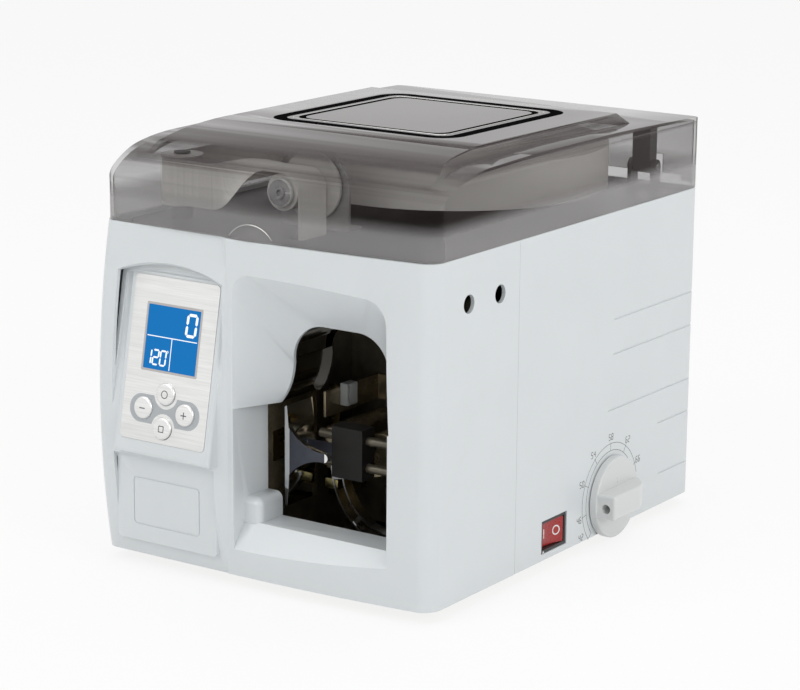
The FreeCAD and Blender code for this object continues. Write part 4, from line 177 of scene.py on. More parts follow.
class Graph:
    """The node tree of a material or of the world."""

    def __init__(self, name: str, owner: bpy.types.ID | None = None) -> None:
        """Start with an empty tree, on a new material unless there is another owner."""
        self.owner = owner or bpy.data.materials.new(name)
        self.owner.use_nodes = True
        self.tree = self.owner.node_tree
        self.tree.nodes.clear()

    def node(self, kind: str, settings: dict | None = None, inputs: dict | None = None) -> bpy.types.Node:
        """Make one node.

        Args:
            kind: The node's type name.
            settings: Its attributes; "stops" fills a colour ramp.
            inputs: Values or links of its sockets, by name or number.
        """
        node = self.tree.nodes.new(kind)
        for key, value in (settings or {}).items():
            if key == "stops":
                ramp = node.color_ramp
                while len(ramp.elements) < len(value):
                    ramp.elements.new(0.5)
                for element, (at, colour) in zip(ramp.elements, value):
                    element.position = at
                    element.color = (*colour, 1.0)
            else:
                setattr(node, key, value)
        for key, value in (inputs or {}).items():
            if isinstance(value, Signal):
                self.tree.links.new(value.socket, node.inputs[key])
            else:
                node.inputs[key].default_value = value
        return node

    def out(self, node: bpy.types.Node, key: object = 0) -> Signal:
        """One of a node's outputs."""
        return Signal(self, node.outputs[key])

    def place(self, scale: tuple = (1.0, 1.0, 1.0), shift: tuple = (0.0, 0.0, 0.0)) -> Signal:
        """Object coordinates in metres, stretched and moved."""
        coords = self.out(self.node("ShaderNodeTexCoord"), "Object")
        where = {"Vector": coords, "Scale": scale, "Location": shift}
        return self.out(self.node("ShaderNodeMapping", {"vector_type": "POINT"}, where))

    def noise(self, scale: float, detail: float = 2.0, rough: float = 0.5,
              place: Signal | None = None) -> Signal:
        """Noise from 0 to 1 at so many cells per metre."""
        node = self.node("ShaderNodeTexNoise", {"noise_dimensions": "3D"}, {
            "Vector": place or self.place(), "Scale": scale, "Detail": detail, "Roughness": rough})
        return self.out(node, "Fac" if "Fac" in node.outputs else 0)

    def ramp(self, factor: Signal, stops: list) -> Signal:
        """Colours along a factor."""
        return self.out(self.node("ShaderNodeValToRGB", {"stops": stops}, {"Fac": factor}), "Color")

    def blend(self, factor: Signal, first: tuple, second: tuple) -> Signal:
        """Mix two colours."""
        inputs = {0: factor, 6: (*first, 1.0), 7: (*second, 1.0)}
        return self.out(self.node("ShaderNodeMix", {"data_type": "RGBA"}, inputs), 2)

    def bump(self, height: Signal, distance: float) -> Signal:
        """A bump of so many metres."""
        node = self.node("ShaderNodeBump", {}, {"Height": height, "Distance": distance, "Strength": 1.0})
        return self.out(node, "Normal")

    def surface(self, inputs: dict) -> bpy.types.Material:
        """Close the tree with a Principled shader that has these values and links."""
        return self.close(self.node("ShaderNodeBsdfPrincipled", {}, inputs))

    def close(self, shader: bpy.types.Node, output: str = "ShaderNodeOutputMaterial") -> bpy.types.ID:
        """Join the shader to the output and return the tree's owner."""
        self.node(output, {}, {"Surface": self.out(shader)})
        return self.owner


def shade(colour: tuple, factor: float) -> tuple:
    """A colour made lighter or darker."""
    return tuple(min(1.0, part * factor) for part in colour)


@dataclass(frozen=True)
class Finish:
    """A moulded, painted or plain metal surface with slight cloudiness and a fine texture."""

    name: str
    colour: tuple
    rough: float = 0.4
    metal: float = 0.0
    coat: float = 0.0
    coat_rough: float = 0.1
    clouds: float = 0.03
    cloud_scale: float = 18.0
    rough_spread: float = 0.06
    texture: float = 0.00002
    texture_scale: float = 1400.0
    grain: Grain = Grain.NONE
    specular: float = 0.5

    def make(self) -> bpy.types.Material:
        """Build the material: clouded colour, clouded roughness, textured normal."""
        graph = Graph(self.name)
        clouds = graph.noise(self.cloud_scale, 3.0, 0.55)
        colour = graph.ramp(clouds, [(0.3, shade(self.colour, 1.0 - self.clouds)),
                                     (0.7, shade(self.colour, 1.0 + self.clouds))])
        texture = graph.noise(self.texture_scale, 2.0, 0.6, graph.place(scale=self.grain.value))
        smear = graph.noise(self.cloud_scale * 5.0, 4.0, 0.6)
        rough = (smear - 0.5) * (2.0 * self.rough_spread) + self.rough
        inputs = {"Base Color": colour, "Roughness": rough, "Metallic": self.metal,
                  "Coat Weight": self.coat, "Coat Roughness": self.coat_rough,
                  "Specular IOR Level": self.specular, "Normal": graph.bump(texture, self.texture)}
        return graph.surface(inputs)


@dataclass(frozen=True)
class Chromate:
    """Yellow zinc plating: olive, straw and a little violet over steel."""

    name: str
    dark: tuple = (0.10, 0.085, 0.045)
    light: tuple = (0.34, 0.29, 0.13)
    tint: tuple = (0.22, 0.17, 0.20)
    rough: float = 0.24

    def make(self) -> bpy.types.Material:
        """Build the material from two layers of noise."""
        graph = Graph(self.name)
        stains = graph.noise(45.0, 4.0, 0.6)
        colour = graph.ramp(stains, [(0.3, self.dark), (0.5, self.light), (0.62, self.dark),
                                     (0.75, self.tint)])
        lines = graph.noise(900.0, 2.0, 0.5, graph.place(scale=Grain.ACROSS.value))
        rough = graph.noise(120.0, 3.0) * 0.2 + (self.rough - 0.1)
        inputs = {"Base Color": colour, "Metallic": 1.0, "Roughness": rough,
                  "Normal": graph.bump(lines, 0.00001)}
        return graph.surface(inputs)


@dataclass(frozen=True)
class Brushed:
    """Plate brushed in one direction: long fine lines in colour, gloss and height."""

    name: str
    colour: tuple = (0.60, 0.60, 0.60)
    rough: float = 0.34
    lines: float = 1500.0

    def make(self) -> bpy.types.Material:
        """Build the material."""
        graph = Graph(self.name)
        place = graph.place(scale=Grain.ACROSS.value)
        fine = graph.noise(self.lines, 3.0, 0.7, place)
        wide = graph.noise(self.lines * 0.2, 2.0, 0.5, place)
        colour = graph.ramp(fine * 0.6 + wide * 0.4, [(0.3, shade(self.colour, 0.86)),
                                                      (0.7, shade(self.colour, 1.10))])
        inputs = {"Base Color": colour, "Metallic": 0.85, "Roughness": fine * 0.2 + (self.rough - 0.1),
                  "Normal": graph.bump(fine, 0.000012)}
        return graph.surface(inputs)


@dataclass(frozen=True)
class Smoke:
    """Clear plastic that takes more of the light the flatter it is seen.

    With a bend share, the mesh's attribute "bend" makes it denser and darker where the moulding turns:
    painted shade for the dark bands on the lid's curved edges. With a skirt share, it is denser and paler
    below a height, where the wall stands in front of the deck: a painted reflection of the bright room on the
    skirt.
    """

    name: str
    colour: tuple = (0.046, 0.032, 0.031)
    front_share: float = 0.12
    edge_share: float = 2.60
    edge_power: float = 4.0
    dust_share: float = 0.03
    most: float = 0.97
    rough: float = 0.05
    index: float = 1.49
    specular: float = 0.18
    bend_share: float = 0.0
    skirt_share: float = 0.0
    skirt_top: float = 0.0
    skirt_fade: float = 110.0
    skirt_colour: tuple = (0.38, 0.37, 0.37)

    def make(self) -> bpy.types.Material:
        """Build the material; dust and fine wipes dull the gloss a little."""
        graph = Graph(self.name)
        dust = graph.noise(60.0, 4.0, 0.6) * self.dust_share
        facing = graph.out(graph.node("ShaderNodeLayerWeight", {}, {"Blend": 0.5}), "Facing")
        share = facing ** self.edge_power * self.edge_share + dust + self.front_share
        colour = (*self.colour, 1.0)
        if self.bend_share:
            # Painted shade: the bends of the moulding are made denser, so that their dark body colour shows
            # there.
            bend = graph.out(graph.node("ShaderNodeAttribute", {"attribute_name": "bend"}), "Fac")
            share = share + bend * self.bend_share
        if self.skirt_share:
            # Painted reflection: below the skirt's top the lid is denser and takes a paler colour, standing
            # for the bright room mirrored in the skirt.
            height = graph.out(graph.node("ShaderNodeSeparateXYZ", {}, {0: graph.place()}), "Z")
            low = ((self.skirt_top - height) * self.skirt_fade).larger(0.0).smaller(1.0)
            share = share + low * self.skirt_share
            colour = graph.blend(low, self.colour, self.skirt_colour)
        material = graph.surface({
            "Base Color": colour, "Roughness": dust + self.rough, "Alpha": share.smaller(self.most),
            "IOR": self.index, "Specular IOR Level": self.specular})
        material.surface_render_method = "BLENDED"
        return material


@dataclass(frozen=True)
class WoundPaper:
    """Paper tape: its wound edges show as fine rings round the roll's axis."""

    name: str
    axis: Vector
    colour: tuple = (0.88, 0.86, 0.82)
    rings: float = 900.0

    def make(self) -> bpy.types.Material:
        """Rings are noise along the distance from the axis; fibres are fine noise."""
        graph = Graph(self.name)
        place = graph.place(shift=(-self.axis.x, -self.axis.y, 0.0))
        flat = graph.node("ShaderNodeVectorMath", {"operation": "MULTIPLY"}, {0: place, 1: (1.0, 1.0, 0.0)})
        length = graph.node("ShaderNodeVectorMath", {"operation": "LENGTH"}, {0: graph.out(flat)})
        along = graph.node("ShaderNodeCombineXYZ", {}, {"X": graph.out(length, "Value")})
        rings = graph.noise(self.rings, 3.0, 0.7, graph.out(along))
        fibre = graph.noise(2200.0, 3.0, 0.6)
        colour = graph.ramp(rings * 0.75 + fibre * 0.25, [(0.30, shade(self.colour, 0.80)),
                                                          (0.55, self.colour)])
        inputs = {"Base Color": colour, "Roughness": 0.78, "Specular IOR Level": 0.25,
                  "Normal": graph.bump(rings + fibre * 0.3, 0.00006)}
        return graph.surface(inputs)


@dataclass(frozen=True)
class Screen:
    """A lit display: even colour with a fine cell pattern and a clear gloss."""

    name: str
    colour: tuple
    glow: float = 0.9

    def make(self) -> bpy.types.Material:
        """Build the material."""
        graph = Graph(self.name)
        cells = graph.noise(2500.0, 1.0, 0.5)
        colour = graph.ramp(cells, [(0.35, shade(self.colour, 0.96)), (0.65, shade(self.colour, 1.04))])
        inputs = {"Base Color": shade(self.colour, 0.2) + (1.0,), "Roughness": 0.35,
                  "Emission Color": colour, "Emission Strength": self.glow, "Specular IOR Level": 0.15}
        return graph.surface(inputs)


class Finishes:
    """The finishes of the machine, each made once."""

    def __init__(self) -> None:
        """Start with none made."""
        white = (0.700, 0.735, 0.750)
        skirt_top = DATUM.at(0.0, 0.0, 244.0).z
        self.table = {
            "case": Finish("case_plastic", white, rough=0.34, coat=0.35, coat_rough=0.12, clouds=0.012,
                           texture=0.000012, texture_scale=1800.0),
            # The lid gets painted shade on its bends and a painted reflection on its skirt.
            "smoke": Smoke("smoked_acrylic", bend_share=0.38, skirt_top=skirt_top, skirt_share=0.26),
            "inlay": Finish("inlay_black", (0.005, 0.005, 0.005), rough=0.5, specular=0.0),
            "trim": Finish("bright_trim", (0.48, 0.48, 0.47), rough=0.25, metal=1.0),
            "deck": Finish("deck_plastic", (0.026, 0.027, 0.031), rough=0.38, clouds=0.10, coat=0.2,
                           texture=0.00003),
            "black": Finish("black_plastic", (0.016, 0.016, 0.017), rough=0.36, clouds=0.08),
            "knob": Finish("knob_plastic", (0.70, 0.715, 0.71), rough=0.30, coat=0.3, clouds=0.015),
            "roller": Finish("roller_plastic", (0.74, 0.73, 0.70), rough=0.32, coat=0.2, clouds=0.03),
            "red": Finish("red_plastic", (0.36, 0.010, 0.010), rough=0.28, coat=0.2, clouds=0.05,
                          cloud_scale=90.0),
            "rubber": Finish("foot_rubber", (0.022, 0.022, 0.022), rough=0.72, clouds=0.12,
                             texture=0.00005, specular=0.3),
            "print": Finish("printed_ink", (0.055, 0.060, 0.065), rough=0.5, clouds=0.15, cloud_scale=400.0),
            "key_print": Finish("key_ink", (0.10, 0.10, 0.105), rough=0.45, clouds=0.10, cloud_scale=500.0),
            "white_print": Finish("white_ink", (0.82, 0.82, 0.80), rough=0.4, clouds=0.04,
                                  cloud_scale=300.0),
            "field": Finish("key_field", (0.43, 0.455, 0.475), rough=0.42, clouds=0.03, metal=0.15),
            "bezel": Finish("display_bezel", (0.50, 0.475, 0.46), rough=0.4, clouds=0.03, metal=0.2),
            "panel": Brushed("panel_plate_metal", (0.745, 0.745, 0.735), rough=0.42),
            "key": Brushed("key_metal", (0.80, 0.80, 0.79), rough=0.30, lines=900.0),
            "steel": Finish("ground_steel", (0.50, 0.50, 0.50), rough=0.26, metal=1.0, clouds=0.06,
                            grain=Grain.UPRIGHT, texture_scale=900.0),
            "turned": Finish("turned_steel", (0.42, 0.42, 0.42), rough=0.22, metal=1.0, clouds=0.08,
                             grain=Grain.TURNED, texture_scale=900.0),
            "bracket": Finish("bracket_steel", (0.44, 0.44, 0.43), rough=0.36, metal=0.8, clouds=0.05),
            "dark": Finish("black_steel", (0.130, 0.115, 0.085), rough=0.30, metal=0.45, clouds=0.35,
                           cloud_scale=50.0),
            "brown": Finish("browned_steel", (0.270, 0.225, 0.150), rough=0.24, metal=0.7, clouds=0.30,
                            cloud_scale=60.0),
            "matt": Finish("matt_black", (0.020, 0.019, 0.018), rough=0.55, clouds=0.10, specular=0.15),
            "blued": Finish("blued_steel", (0.055, 0.058, 0.075), rough=0.42, metal=0.6, clouds=0.12,
                            cloud_scale=120.0),
            "chrome": Finish("chromed_steel", (0.70, 0.70, 0.70), rough=0.08, metal=1.0, clouds=0.03,
                             texture=0.000006, texture_scale=300.0),
            "dim_chrome": Finish("dim_chrome", (0.22, 0.215, 0.20), rough=0.14, metal=1.0, clouds=0.10,
                                 texture=0.00001, texture_scale=300.0),
            "chromate": Chromate("yellow_zinc"),
            "brass": Finish("brass_turned", (0.50, 0.36, 0.13), rough=0.28, metal=1.0, clouds=0.08),
            "board": Finish("circuit_lacquer", (0.020, 0.11, 0.045), rough=0.35, clouds=0.15, coat=0.4),
            "core": Finish("core_board", (0.34, 0.25, 0.16), rough=0.8, clouds=0.12, specular=0.2),
            "iron": Finish("varnished_iron", (0.055, 0.045, 0.040), rough=0.4, clouds=0.2, coat=0.3,
                           texture=0.0002, texture_scale=500.0, grain=Grain.UPRIGHT),
            # The gloss is real; the pale body colour that shows more at grazing faces paints glints on the
            # clear block's edges.
            "clear": Smoke("clear_sensor_painted_glint", (0.80, 0.84, 0.84), front_share=0.20, edge_power=1.2, rough=0.03,
                           index=1.9, specular=0.5),
            "paper": WoundPaper("wound_paper", middle_of("tape_roll")),
            "screen": Screen("display_blue", (0.000, 0.150, 0.440), glow=0.95),
            "lit": Screen("display_lit", (0.92, 0.96, 1.0), glow=0.95),
        }
        self.made: dict = {}

    def get(self, key: str) -> bpy.types.Material:
        """A finish's material, made on first use."""
        if key not in self.made:
            self.made[key] = self.table[key].make()
        return self.made[key]


@dataclass
class Bench:
    """Where finished pieces are put together."""

    finishes: Finishes = field(default_factory=Finishes)
    weld: float = 2e-6
    crease: float = math.radians(32.0)
    flat: float = math.radians(0.3)
    facing: float = 0.9
    bend_starts: tuple = (0.74, 0.86)
    bend_ends: tuple = (0.955, 0.985)

    def add(self, name: str, mesh: bpy.types.Mesh, body: str, slot: str, finish: str,
            stands_for: tuple = ()) -> bpy.types.Object:
        """Link a mesh as a piece, dress it and set what it rides on.

        Args:
            name: The piece's name.
            mesh: Its mesh, in row-frame metres.
            body: The body that it moves with.
            slot: The record's material slot; not used.
            finish: The finish's key.
            stands_for: CAD nodes that it replaces.

        Returns:
            The new object.
        """
        piece = bpy.data.objects.new(name, mesh)
        bpy.context.scene.collection.objects.link(piece)
        mesh.materials.clear()
        mesh.materials.append(self.finishes.get(finish))
        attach(piece, body)
        if stands_for:
            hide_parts(*stands_for)
        LOG.info("piece %s on %s, finish %s", name, body, finish)
        return piece

    def dress(self, node: str, finish: str) -> None:
        """Give a CAD node a finish."""
        mesh = frame["nodes"][node].data
        mesh.materials.clear()
        mesh.materials.append(self.finishes.get(finish))

    def skin(self, node: str, finish: str, bevel: float = 0.0) -> bpy.types.Object:
        """A merged, smooth copy of a CAD node that stands for it.

        Args:
            node: The CAD node's name.
            finish: The finish's key.
            bevel: Edge rounding in millimetres, 0 for none.

        Returns:
            The piece.
        """
        mesh = frame["nodes"][node].data.copy()
        with edited(mesh) as work:
            bmesh.ops.remove_doubles(work, verts=work.verts, dist=self.weld)
            bmesh.ops.dissolve_degenerate(work, dist=self.weld, edges=work.edges)
            bmesh.ops.dissolve_limit(work, angle_limit=self.flat, verts=work.verts, edges=work.edges)
        mesh.shade_smooth()
        mesh.set_sharp_from_angle(angle=self.crease)
        record = frame["record"]["subparts"]
        slot = next(part["material_slot"] for part in record if part["node"] == node)
        piece = self.add(node + "_skin", mesh, body_of(frame["nodes"][node])[0], slot, finish, (node,))
        if bevel:
            edge = piece.modifiers.new("edge", "BEVEL")
            edge.width = bevel * MM
            edge.segments = 2
            edge.limit_method = "ANGLE"
            edge.angle_limit = self.crease
            edge.harden_normals = True
            edge.use_clamp_overlap = True
        return piece

    def skins(self, *rows: tuple) -> None:
        """Skin several nodes, each row a node, its finish and its edge rounding if it has one."""
        for row in rows:
            self.skin(*row)

    def mark_bends(self, piece: bpy.types.Object) -> None:
        """Store where a moulding turns from its top to its sides, from the vertex normals' rise; the smoke
        finish paints shade on these bends.
        """
        mesh = piece.data
        normals = np.empty(len(mesh.vertices) * 3)
        mesh.vertices.foreach_get("normal", normals)
        rise = normals.reshape(-1, 3)[:, 2]
        bend = np.interp(rise, self.bend_starts, (0.0, 1.0)) * np.interp(rise, self.bend_ends, (1.0, 0.0))
        mesh.attributes.new("bend", "FLOAT", "POINT").data.foreach_set("value", bend.astype(np.float32))

    def patch(self, piece: bpy.types.Object, finish: str, towards: Vector, right_of: float,
              behind: float = -1000.0) -> None:
        """Cut a piece at a plane and give another finish to its faces right of it that look one way.

        Args:
            piece: The piece.
            finish: The finish's key.
            towards: The direction that the faces look.
            right_of: The least X of their middles in the case frame, in millimetres.
            behind: The least Y of their middles.
        """
        mesh = piece.data
        with edited(mesh) as work:
            bmesh.ops.bisect_plane(work, geom=work.verts[:] + work.edges[:] + work.faces[:], dist=1e-6,
                                   plane_co=DATUM.at(right_of, 0.0, 0.0), plane_no=RIGHT)
        centres = of_faces(mesh, "center")
        least = DATUM.at(right_of, behind, 0.0)
        looks = of_faces(mesh, "normal") @ np.array(towards) > self.facing
        self.paint(mesh, finish, looks & (centres[:, 0] > least.x) & (centres[:, 1] > least.y))

    def paint(self, mesh: bpy.types.Mesh, finish: str, chosen: np.ndarray) -> None:
        """Give the chosen faces of a mesh another finish."""
        index = np.zeros(len(chosen), np.int32)
        mesh.polygons.foreach_get("material_index", index)
        index[chosen] = len(mesh.materials)
        mesh.materials.append(self.finishes.get(finish))
        mesh.polygons.foreach_set("material_index", index)

    def paint_core(self, piece: bpy.types.Object, finish: str, radius: float) -> None:
        """Give another finish to the faces near the line through a piece's middle from front to back."""
        centres = of_faces(piece.data, "center")[:, ::2]
        middle = (centres.min(axis=0) + centres.max(axis=0)) / 2.0
        self.paint(piece.data, finish, np.linalg.norm(centres - middle, axis=1) < radius * MM)


def solid_mesh(name: str, rings: np.ndarray, closed: bool = True) -> bpy.types.Mesh:
    """A closed skin through rings of points, capped at both ends.

    The surface is a grid: one parameter runs round each ring, the other from ring to ring.

    Args:
        name: The mesh's name.
        rings: An array of rings x points x 3, in metres.
        closed: Whether the ends get caps; without them the last ring joins the first.

    Returns:
        The mesh.
    """
    count, around = rings.shape[:2]
    j = np.arange(around)
    spans = np.arange(count - 1 if closed else count)
    a = spans[:, None] * around + j[None, :]
    b = spans[:, None] * around + np.roll(j, -1)[None, :]
    c = (spans[:, None] + 1) % count * around + np.roll(j, -1)[None, :]
    d = (spans[:, None] + 1) % count * around + j[None, :]
    faces = np.stack([a, b, c, d], axis=-1).reshape(-1, 4).tolist()
    if closed:
        faces.append(j[::-1].tolist())
        faces.append(((count - 1) * around + j).tolist())
    mesh = bpy.data.meshes.new(name)
    mesh.from_pydata(rings.reshape(-1, 3).tolist(), [], faces)
    with edited(mesh) as work:
        bmesh.ops.recalc_face_normals(work, faces=work.faces)
    mesh.shade_smooth()
    mesh.set_sharp_from_angle(angle=math.radians(40.0))
    return mesh


def join_meshes(name: str, meshes: list) -> bpy.types.Mesh:
    """Put several meshes into one."""
    work = bmesh.new()
    for mesh in meshes:
        work.from_mesh(mesh)
        bpy.data.meshes.remove(mesh)
    whole = bpy.data.meshes.new(name)
    work.to_mesh(whole)
    work.free()
    return whole


def rounded_outline(width: float, height: float, radius: float, steps: int = 8) -> np.ndarray:
    """Points round a rectangle about the origin with a quarter circle of so many steps at each corner."""
    turn = np.linspace(0.0, math.pi / 2.0, steps + 1)
    arc = np.stack([np.cos(turn), np.sin(turn)], axis=1) * radius
    spin = np.array([[[1, 0], [0, 1]], [[0, 1], [-1, 0]], [[-1, 0], [0, -1]], [[0, -1], [1, 0]]])
    corner = np.array([[1, 1], [-1, 1], [-1, -1], [1, -1]]) * (np.array([width, height]) / 2.0 - radius)
    return np.concatenate([arc @ spin[k] + corner[k] for k in range(4)])


def circle_outline(radius: float, steps: int = 48) -> np.ndarray:
    """Points round a circle about the origin."""
    turn = np.linspace(0.0, 2.0 * math.pi, steps, endpoint=False)
    return np.stack([np.cos(turn), np.sin(turn)], axis=1) * radius


def box_outline(left: float, right: float, low: float, high: float) -> np.ndarray:
    """The corners of a rectangle."""
    return np.array([[left, low], [right, low], [right, high], [left, high]])


def upright(flat: np.ndarray, y: float) -> np.ndarray:
    """Points of X and Z, all given one Y."""
    return np.insert(flat, 1, y, axis=1)


@dataclass
class Plane:
    """A flat place on the machine that marks lie on: an origin and three directions."""

    origin: Vector
    along: Vector
    up: Vector

    def out(self) -> Vector:
        """The direction that faces the viewer."""
        return self.along.cross(self.up).normalized()

    def points(self, flat: np.ndarray, lift: float) -> np.ndarray:
        """Outline points in millimetres, placed at a lift in millimetres over the plane."""
        base = np.array(self.origin) + np.array(self.out()) * lift * MM
        axes = np.array([self.along, self.up]) * MM
        return base + flat @ axes

    def mark(self, name: str, shape: object, low: float, high: float) -> bpy.types.Mesh:
        """A flat piece between two lifts.

        Args:
            name: The mesh's name.
            shape: An outline, or a pair of outlines with the same count of points for a band between them.
            low: The lower lift in millimetres.
            high: The upper lift.

        Returns:
            The mesh.
        """
        if isinstance(shape, tuple):
            outer, inner = shape
            rings = [self.points(outer, low), self.points(outer, high), self.points(inner, high),
                     self.points(inner, low)]
            return solid_mesh(name, np.stack(rings), closed=False)
        return solid_mesh(name, np.stack([self.points(shape, low), self.points(shape, high)]))


@dataclass
class Case:
    """Both case shells, the feet and the base."""

    def build(self, bench: Bench) -> None:
        """Dress the shells and what they stand on."""
        bench.skins(("front_shell", "case", 0.5), ("rear_shell", "case", 0.3), ("rubber_feet", "rubber", 0.6))
        bench.dress("base_plate", "chromate")


@dataclass
class Lid:
    """The smoked lid, its inlay with bright edges and its hinges."""

    trim_width: float = 0.75
    trim_height: float = 0.45
    trim_sink: float = 0.1
    band: float = 9.0
    gap: float = 4.0
    corner: float = 18.0
    least_corner: float = 1.5
    # Where the painted highlight round the finger dome runs, and its bead's radius.
    dome_middle: tuple = (-6.0, 210.0)
    dome_radius: float = 20.3
    dome_turn: tuple = (36.0, 144.0)
    dome_bead: float = 0.35

    def build(self, bench: Bench) -> None:
        """Dress the lid and lay the bright lines beside the inlay."""
        bench.mark_bends(bench.skin("lid", "smoke", bevel=0.5))
        bench.skins(("lid_inlay", "inlay", 0.15), ("hinge_arms", "black", 0.4),
                    ("hinge_brackets", "black", 0.4), ("hinge_pins", "turned", 0.2))
        self.lines(bench)
        self.dome_line(bench)

    def dome_line(self, bench: Bench) -> None:
        """A bright bead round the finger dome, laid on the lid's front: a painted highlight where the dome's
        edge catches the light.
        """
        front = surface_of("lid_skin")
        x, z = self.dome_middle
        section = circle_outline(self.dome_bead * MM, 8)
        rings = []
        for turn in np.radians(np.linspace(*self.dome_turn, 40)):
            ray = Vector((math.cos(turn), 0.0, math.sin(turn)))
            spot = DATUM.at(x, 0.0, z) + ray * self.dome_radius * MM
            hit = front.ray_cast(Vector((spot.x, -1.0, spot.z)), BACK)[0]
            rings.append(np.array(hit) + section @ np.array([ray, BACK]))
        # The bead wears the bright trim finish as a painted highlight.
        bench.add("dome_line", solid_mesh("dome_line", np.array(rings)), "lid_body", "smoked_acrylic", "trim")

    def lines(self, bench: Bench) -> None:
        """Bright lines round both edges of both inlaid bands, resting on the lid's top."""
        low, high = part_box("lid_inlay")
        size = (high - low) / MM
        top = surface_of("lid_skin")
        meshes = []
        for shrink in (0.0, self.band, self.band + self.gap, self.band * 1.5 + self.gap):
            radius = max(self.corner - shrink, self.least_corner)
            path = rounded_outline(size.x - 2.0 * shrink, size.y - 2.0 * shrink, radius, 10) * MM
            meshes.append(self.line(path + np.array(middle_of("lid_inlay"))[:2], top))
        bench.add("inlay_lines", join_meshes("inlay_lines", meshes), "lid_body", "inlay_grey", "trim")

    def line(self, path: np.ndarray, top: BVHTree) -> bpy.types.Mesh:
        """One closed bead on a surface: a half ellipse carried along a path of points x 2, in metres."""
        heights = np.array([top.ray_cast(Vector((x, y, 1.0)), -UP)[0].z for x, y in path])
        after = np.roll(path, -1, axis=0) - np.roll(path, 1, axis=0)
        side = np.stack([after[:, 1], -after[:, 0]], axis=1)
        side /= np.linalg.norm(side, axis=1, keepdims=True)
        turn = np.linspace(0.0, math.pi, 7)
        across = np.cos(turn) * self.trim_width * MM / 2.0
        rise = (np.sin(turn) * self.trim_height - self.trim_sink) * MM
        rings = np.empty((len(path), len(turn), 3))
        rings[:, :, :2] = path[:, None, :] + side[:, None, :] * across[None, :, None]
        rings[:, :, 2] = heights[:, None] + rise[None, :]
        return solid_mesh("bead", rings, closed=False)


@dataclass
class TapeSupply:
    """The roll, its rollers and the free tape under the lid."""

    screw_radius: float = 4.05

    def build(self, bench: Bench) -> None:
        """Dress the tape's path."""
        bench.skins(
            ("top_deck", "deck", 0.3), ("tape_roll", "paper", 0.3), ("tape_strip", "paper"),
            ("tape_core", "core", 0.2), ("roll_hub", "black", 0.4), ("tape_spindle", "black", 0.4),
            ("side_guide_roller", "roller", 0.4), ("top_guide_roller", "roller", 0.4),
            ("roller_bracket", "bracket", 0.4))
        bench.paint_core(bench.skin("roller_cap", "roller", 0.3), "turned", self.screw_radius)
        bench.skins(
            ("feed_roller", "rubber"), ("pinch_roller", "turned"), ("pinch_yoke", "chromate"),
            ("feed_motor", "steel"), ("tension_screws", "steel"), ("tension_springs", "steel"))


# The lit strokes of each figure: a is at the top, then clockwise to f, and g is in the middle.
SEGMENTS = {"0": "abcdef", "1": "bc", "2": "abged", "4": "bcfg", "5": "afgcd", "6": "afgecd", "7": "abc",
            "8": "abcdefg"}


@dataclass(frozen=True)
class Figures:
    """Seven-stroke figures of one size."""

    width: float
    height: float
    stroke: float
    lean: float = 0.06
    tip: float = 0.12
    shoulder: float = 0.62

    def strokes(self, figure: str, left: float, bottom: float) -> list:
        """The strokes of one figure whose lower left corner is there: hexagons, as arrays of points x 2."""
        top, half, right = self.height, self.height / 2.0, self.width
        ends = {"a": ((0, top), (right, top)), "b": ((right, top), (right, half)),
                "c": ((right, half), (right, 0)), "d": ((0, 0), (right, 0)), "e": ((0, half), (0, 0)),
                "f": ((0, top), (0, half)), "g": ((0, half), (right, half))}
        shapes = []
        for name in SEGMENTS[figure]:
            start, end = (np.array(point, float) for point in ends[name])
            run = (end - start) / np.linalg.norm(end - start)
            side = np.array([-run[1], run[0]]) * self.stroke / 2.0
            tip, back = run * self.stroke * self.tip, run * self.stroke * self.shoulder
            shape = np.array([start + tip, start + back + side, end - back + side, end - tip,
                              end - back - side, start + back - side])
            shape[:, 0] += shape[:, 1] * self.lean
            shapes.append(shape + np.array([left, bottom]))
        return shapes


